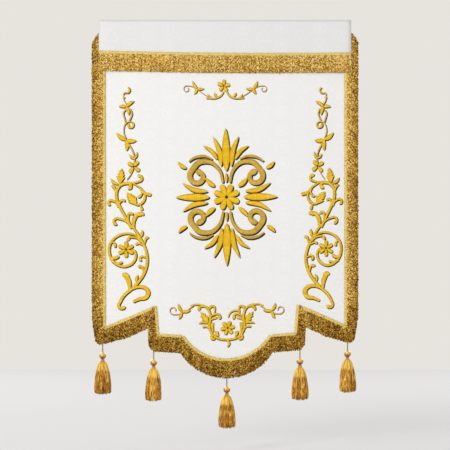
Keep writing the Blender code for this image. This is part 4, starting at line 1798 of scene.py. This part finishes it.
def add_embroidery(name, rows, shadow=1.0, yarn="embroidery_gold"):
    values = bpy.context.scene.banner_embroidery
    gold = [row for row in rows if row.kind in ("satin", "leaf", "petal")]
    thin = [row for row in rows if row.kind == "stem"]
    hearts = [row for row in rows if row.kind == "heart"]
    mesh = ribbons(name, gold, STITCH_SIDES, values.height)
    add_piece(name, mesh, [finish(yarn)])
    if thin:
        mesh = ribbons(f"{name}_stems", thin, STITCH_SIDES, values.height * 0.8)
        add_piece(f"{name}_stems", mesh, [finish("stem_copper")])
    if hearts:
        mesh = ribbons(f"{name}_hearts", hearts, STITCH_SIDES, values.height * 1.35)
        add_piece(f"{name}_hearts", mesh, [finish("edging_dark")])
    shift = [part * shadow for part in SHADOW_SHIFT]
    # Dark outline stitches, shifted down and to the right as a painted shadow
    mesh = ribbons(f"{name}_edging", gold + thin, SHADOW_EDGING_SIDES, SHADOW_EDGING_HEIGHT, SHADOW_EDGING_MARGIN, shift)
    add_piece(f"{name}_edging", mesh, [finish("edging_dark")])


def make_embroidery():
    add_embroidery("vine_left", moved(vine(), -1.2, -0.7))
    add_embroidery("vine_right", moved(mirrored(vine()), 0.5, -0.4))
    half = top_sprig()
    add_embroidery("sprig_top", half + mirrored(half) + flower((-1.5, 66), 5, 6.6, 3.8, 0.1), 0.7)
    half = bottom_sprig()
    tip = [satin(((0.4, 319.8), (2.4, 323.4), (0.6, 327)), 1.6, 1.8, 1.4)]
    tip.append(satin(((1.2, 297.6), (3.2, 293), (8, 290.4), (13.6, 291)), 1.0, 1.4, 1.6))
    add_embroidery("sprig_bottom", half + mirrored(half) + tip + flower((0.8, 307.8), 6, 7.4, 4.0, 0.35), 0.8)
    half = ornament_scrolls()
    add_embroidery("ornament_scrolls", half + mirrored(half), 1.7, "antique_gold")
    half = ornament_leaves()
    add_embroidery("ornament_leaves", half + mirrored(half) + ornament_middle(), 1.7)


# Stage

FLOOR_BACK = 3.4
FLOOR_NEAR = -9.0
FLOOR_HALF = 9.0
SENSOR = 36.0
FLOOR_COLOUR = (0.80, 0.78, 0.75)
BACKDROP = (0.80, 0.77, 0.73)
Lamp = namedtuple("Lamp", "name place size power")
LAMPS = (
    Lamp("key", (-2.4, -3.6, 0.7), 1.6, 96),
    Lamp("fill", (3.2, -3.6, -0.9), 2.4, 50),
    Lamp("back_left", (-2.6, 3.2, 1.6), 2.0, 60),
    Lamp("back_right", (2.8, 3.0, 1.2), 2.0, 50),
)


def make_floor(drop):
    bm = bmesh.new()
    bmesh.ops.create_grid(bm, x_segments=1, y_segments=1, size=0.5)
    bmesh.ops.scale(bm, vec=(2 * FLOOR_HALF, FLOOR_BACK - FLOOR_NEAR, 1), verts=bm.verts[:])
    bmesh.ops.translate(bm, vec=(0, (FLOOR_BACK + FLOOR_NEAR) / 2, -drop), verts=bm.verts[:])
    material, tree, shader = new_material("floor")
    shader["Base Color"].default_value = (*FLOOR_COLOUR, 1)
    shader["Roughness"].default_value = 0.9
    mesh = mesh_from(bm, "floor")
    mesh.materials.append(material)
    floor = bpy.data.objects.new("floor", mesh)
    bpy.context.scene.collection.objects.link(floor)


def make_world():
    """A plain pale backdrop to look at, and an even white light from all round."""
    world = bpy.data.worlds.new("studio")
    bpy.context.scene.world = world
    world.use_nodes = True
    tree = world.node_tree
    seen = tree.nodes["Background"]
    seen.inputs["Color"].default_value = (*BACKDROP, 1)
    lit = add_node(tree, "ShaderNodeBackground")
    lit.inputs["Color"].default_value = (0.93, 0.95, 1.0, 1)
    lit.inputs["Strength"].default_value = 0.55
    path = add_node(tree, "ShaderNodeLightPath")
    both = add_node(tree, "ShaderNodeMixShader")
    put(tree, path.outputs["Is Camera Ray"], both.inputs["Fac"])
    put(tree, lit.outputs[0], both.inputs[1])
    put(tree, seen.outputs[0], both.inputs[2])
    put(tree, both.outputs[0], tree.nodes["World Output"].inputs["Surface"])


def make_lamp(lamp, target):
    light = bpy.data.lights.new(lamp.name, "AREA")
    light.size = lamp.size
    light.energy = lamp.power
    obj = bpy.data.objects.new(lamp.name, light)
    obj.location = lamp.place
    obj.rotation_euler = (target - Vector(lamp.place)).to_track_quat("-Z", "Y").to_euler()
    bpy.context.scene.collection.objects.link(obj)


def make_camera(values):
    camera = bpy.data.cameras.new("camera")
    camera.sensor_width = SENSOR
    camera.lens = SENSOR * values.camera_distance / values.view_width
    camera.clip_end = 100
    obj = bpy.data.objects.new("camera", camera)
    obj.location = (0, -values.camera_distance, values.aim)
    obj.rotation_euler = (math.pi / 2, 0, 0)
    bpy.context.scene.collection.objects.link(obj)
    bpy.context.scene.camera = obj


def make_stage():
    values = bpy.context.scene.banner_stage
    make_floor(values.floor_drop)
    make_world()
    for lamp in LAMPS:
        make_lamp(lamp, Vector((0, 0, values.aim)))
    make_camera(values)
    bpy.context.scene.view_settings.view_transform = "Standard"


# Operators and panel

class BANNER_OT_stage(bpy.types.Operator):
    """Makes the floor, the light and the camera"""
    bl_idname = "banner.stage"
    bl_label = "Stage"

    def execute(self, context):
        make_stage()
        return {"FINISHED"}


class BANNER_OT_sleeve(bpy.types.Operator):
    """Makes the folded sleeve for the pole"""
    bl_idname = "banner.sleeve"
    bl_label = "Pole sleeve"

    def execute(self, context):
        make_sleeve()
        return {"FINISHED"}


class BANNER_OT_panel(bpy.types.Operator):
    """Makes the damask panel"""
    bl_idname = "banner.panel"
    bl_label = "Panel"

    def execute(self, context):
        make_cloth()
        return {"FINISHED"}


class BANNER_OT_hem(bpy.types.Operator):
    """Makes the hem on the back with its stitches"""
    bl_idname = "banner.hem"
    bl_label = "Hem"

    def execute(self, context):
        make_hem()
        return {"FINISHED"}


class BANNER_OT_fringe(bpy.types.Operator):
    """Makes every cut length of fringe with its heading"""
    bl_idname = "banner.fringe"
    bl_label = "Fringe"

    def execute(self, context):
        make_fringes()
        return {"FINISHED"}


class BANNER_OT_tassels(bpy.types.Operator):
    """Makes the cords, beads and skirts of the tassels"""
    bl_idname = "banner.tassels"
    bl_label = "Tassels"

    def execute(self, context):
        make_tassels()
        return {"FINISHED"}


class BANNER_OT_embroidery(bpy.types.Operator):
    """Makes the vines, the sprigs and the middle ornament"""
    bl_idname = "banner.embroidery"
    bl_label = "Embroidery"

    def execute(self, context):
        make_embroidery()
        return {"FINISHED"}


OPERATORS = (
    BANNER_OT_stage,
    BANNER_OT_sleeve,
    BANNER_OT_panel,
    BANNER_OT_hem,
    BANNER_OT_fringe,
    BANNER_OT_tassels,
    BANNER_OT_embroidery,
)


class BANNER_PT_pieces(bpy.types.Panel):
    """Lists the banner's pieces and their settings"""
    bl_label = "Church banner"
    bl_idname = "BANNER_PT_pieces"
    bl_space_type = "VIEW_3D"
    bl_region_type = "UI"
    bl_category = "Banner"

    def draw(self, context):
        for operator in OPERATORS:
            self.layout.operator(operator.bl_idname)
        for name, settings in SETTINGS.items():
            box = self.layout.box()
            for value in settings.__annotations__:
                box.prop(getattr(context.scene, name), value)


CLASSES = (*SETTINGS.values(), *OPERATORS, BANNER_PT_pieces)


def register():
    for cls in CLASSES:
        bpy.utils.register_class(cls)
    for name, settings in SETTINGS.items():
        setattr(bpy.types.Scene, name, bpy.props.PointerProperty(type=settings))


def unregister():
    for name in SETTINGS:
        delattr(bpy.types.Scene, name)
    for cls in reversed(CLASSES):
        bpy.utils.unregister_class(cls)


def main():
    register()
    bpy.ops.banner.stage()
    bpy.ops.banner.sleeve()
    bpy.ops.banner.panel()
    bpy.ops.banner.hem()
    bpy.ops.banner.fringe()
    bpy.ops.banner.tassels()
    bpy.ops.banner.embroidery()
    objects = bpy.data.objects
    declare_panel(objects["cloth_panel"])


if __name__ == "__main__":
    main()
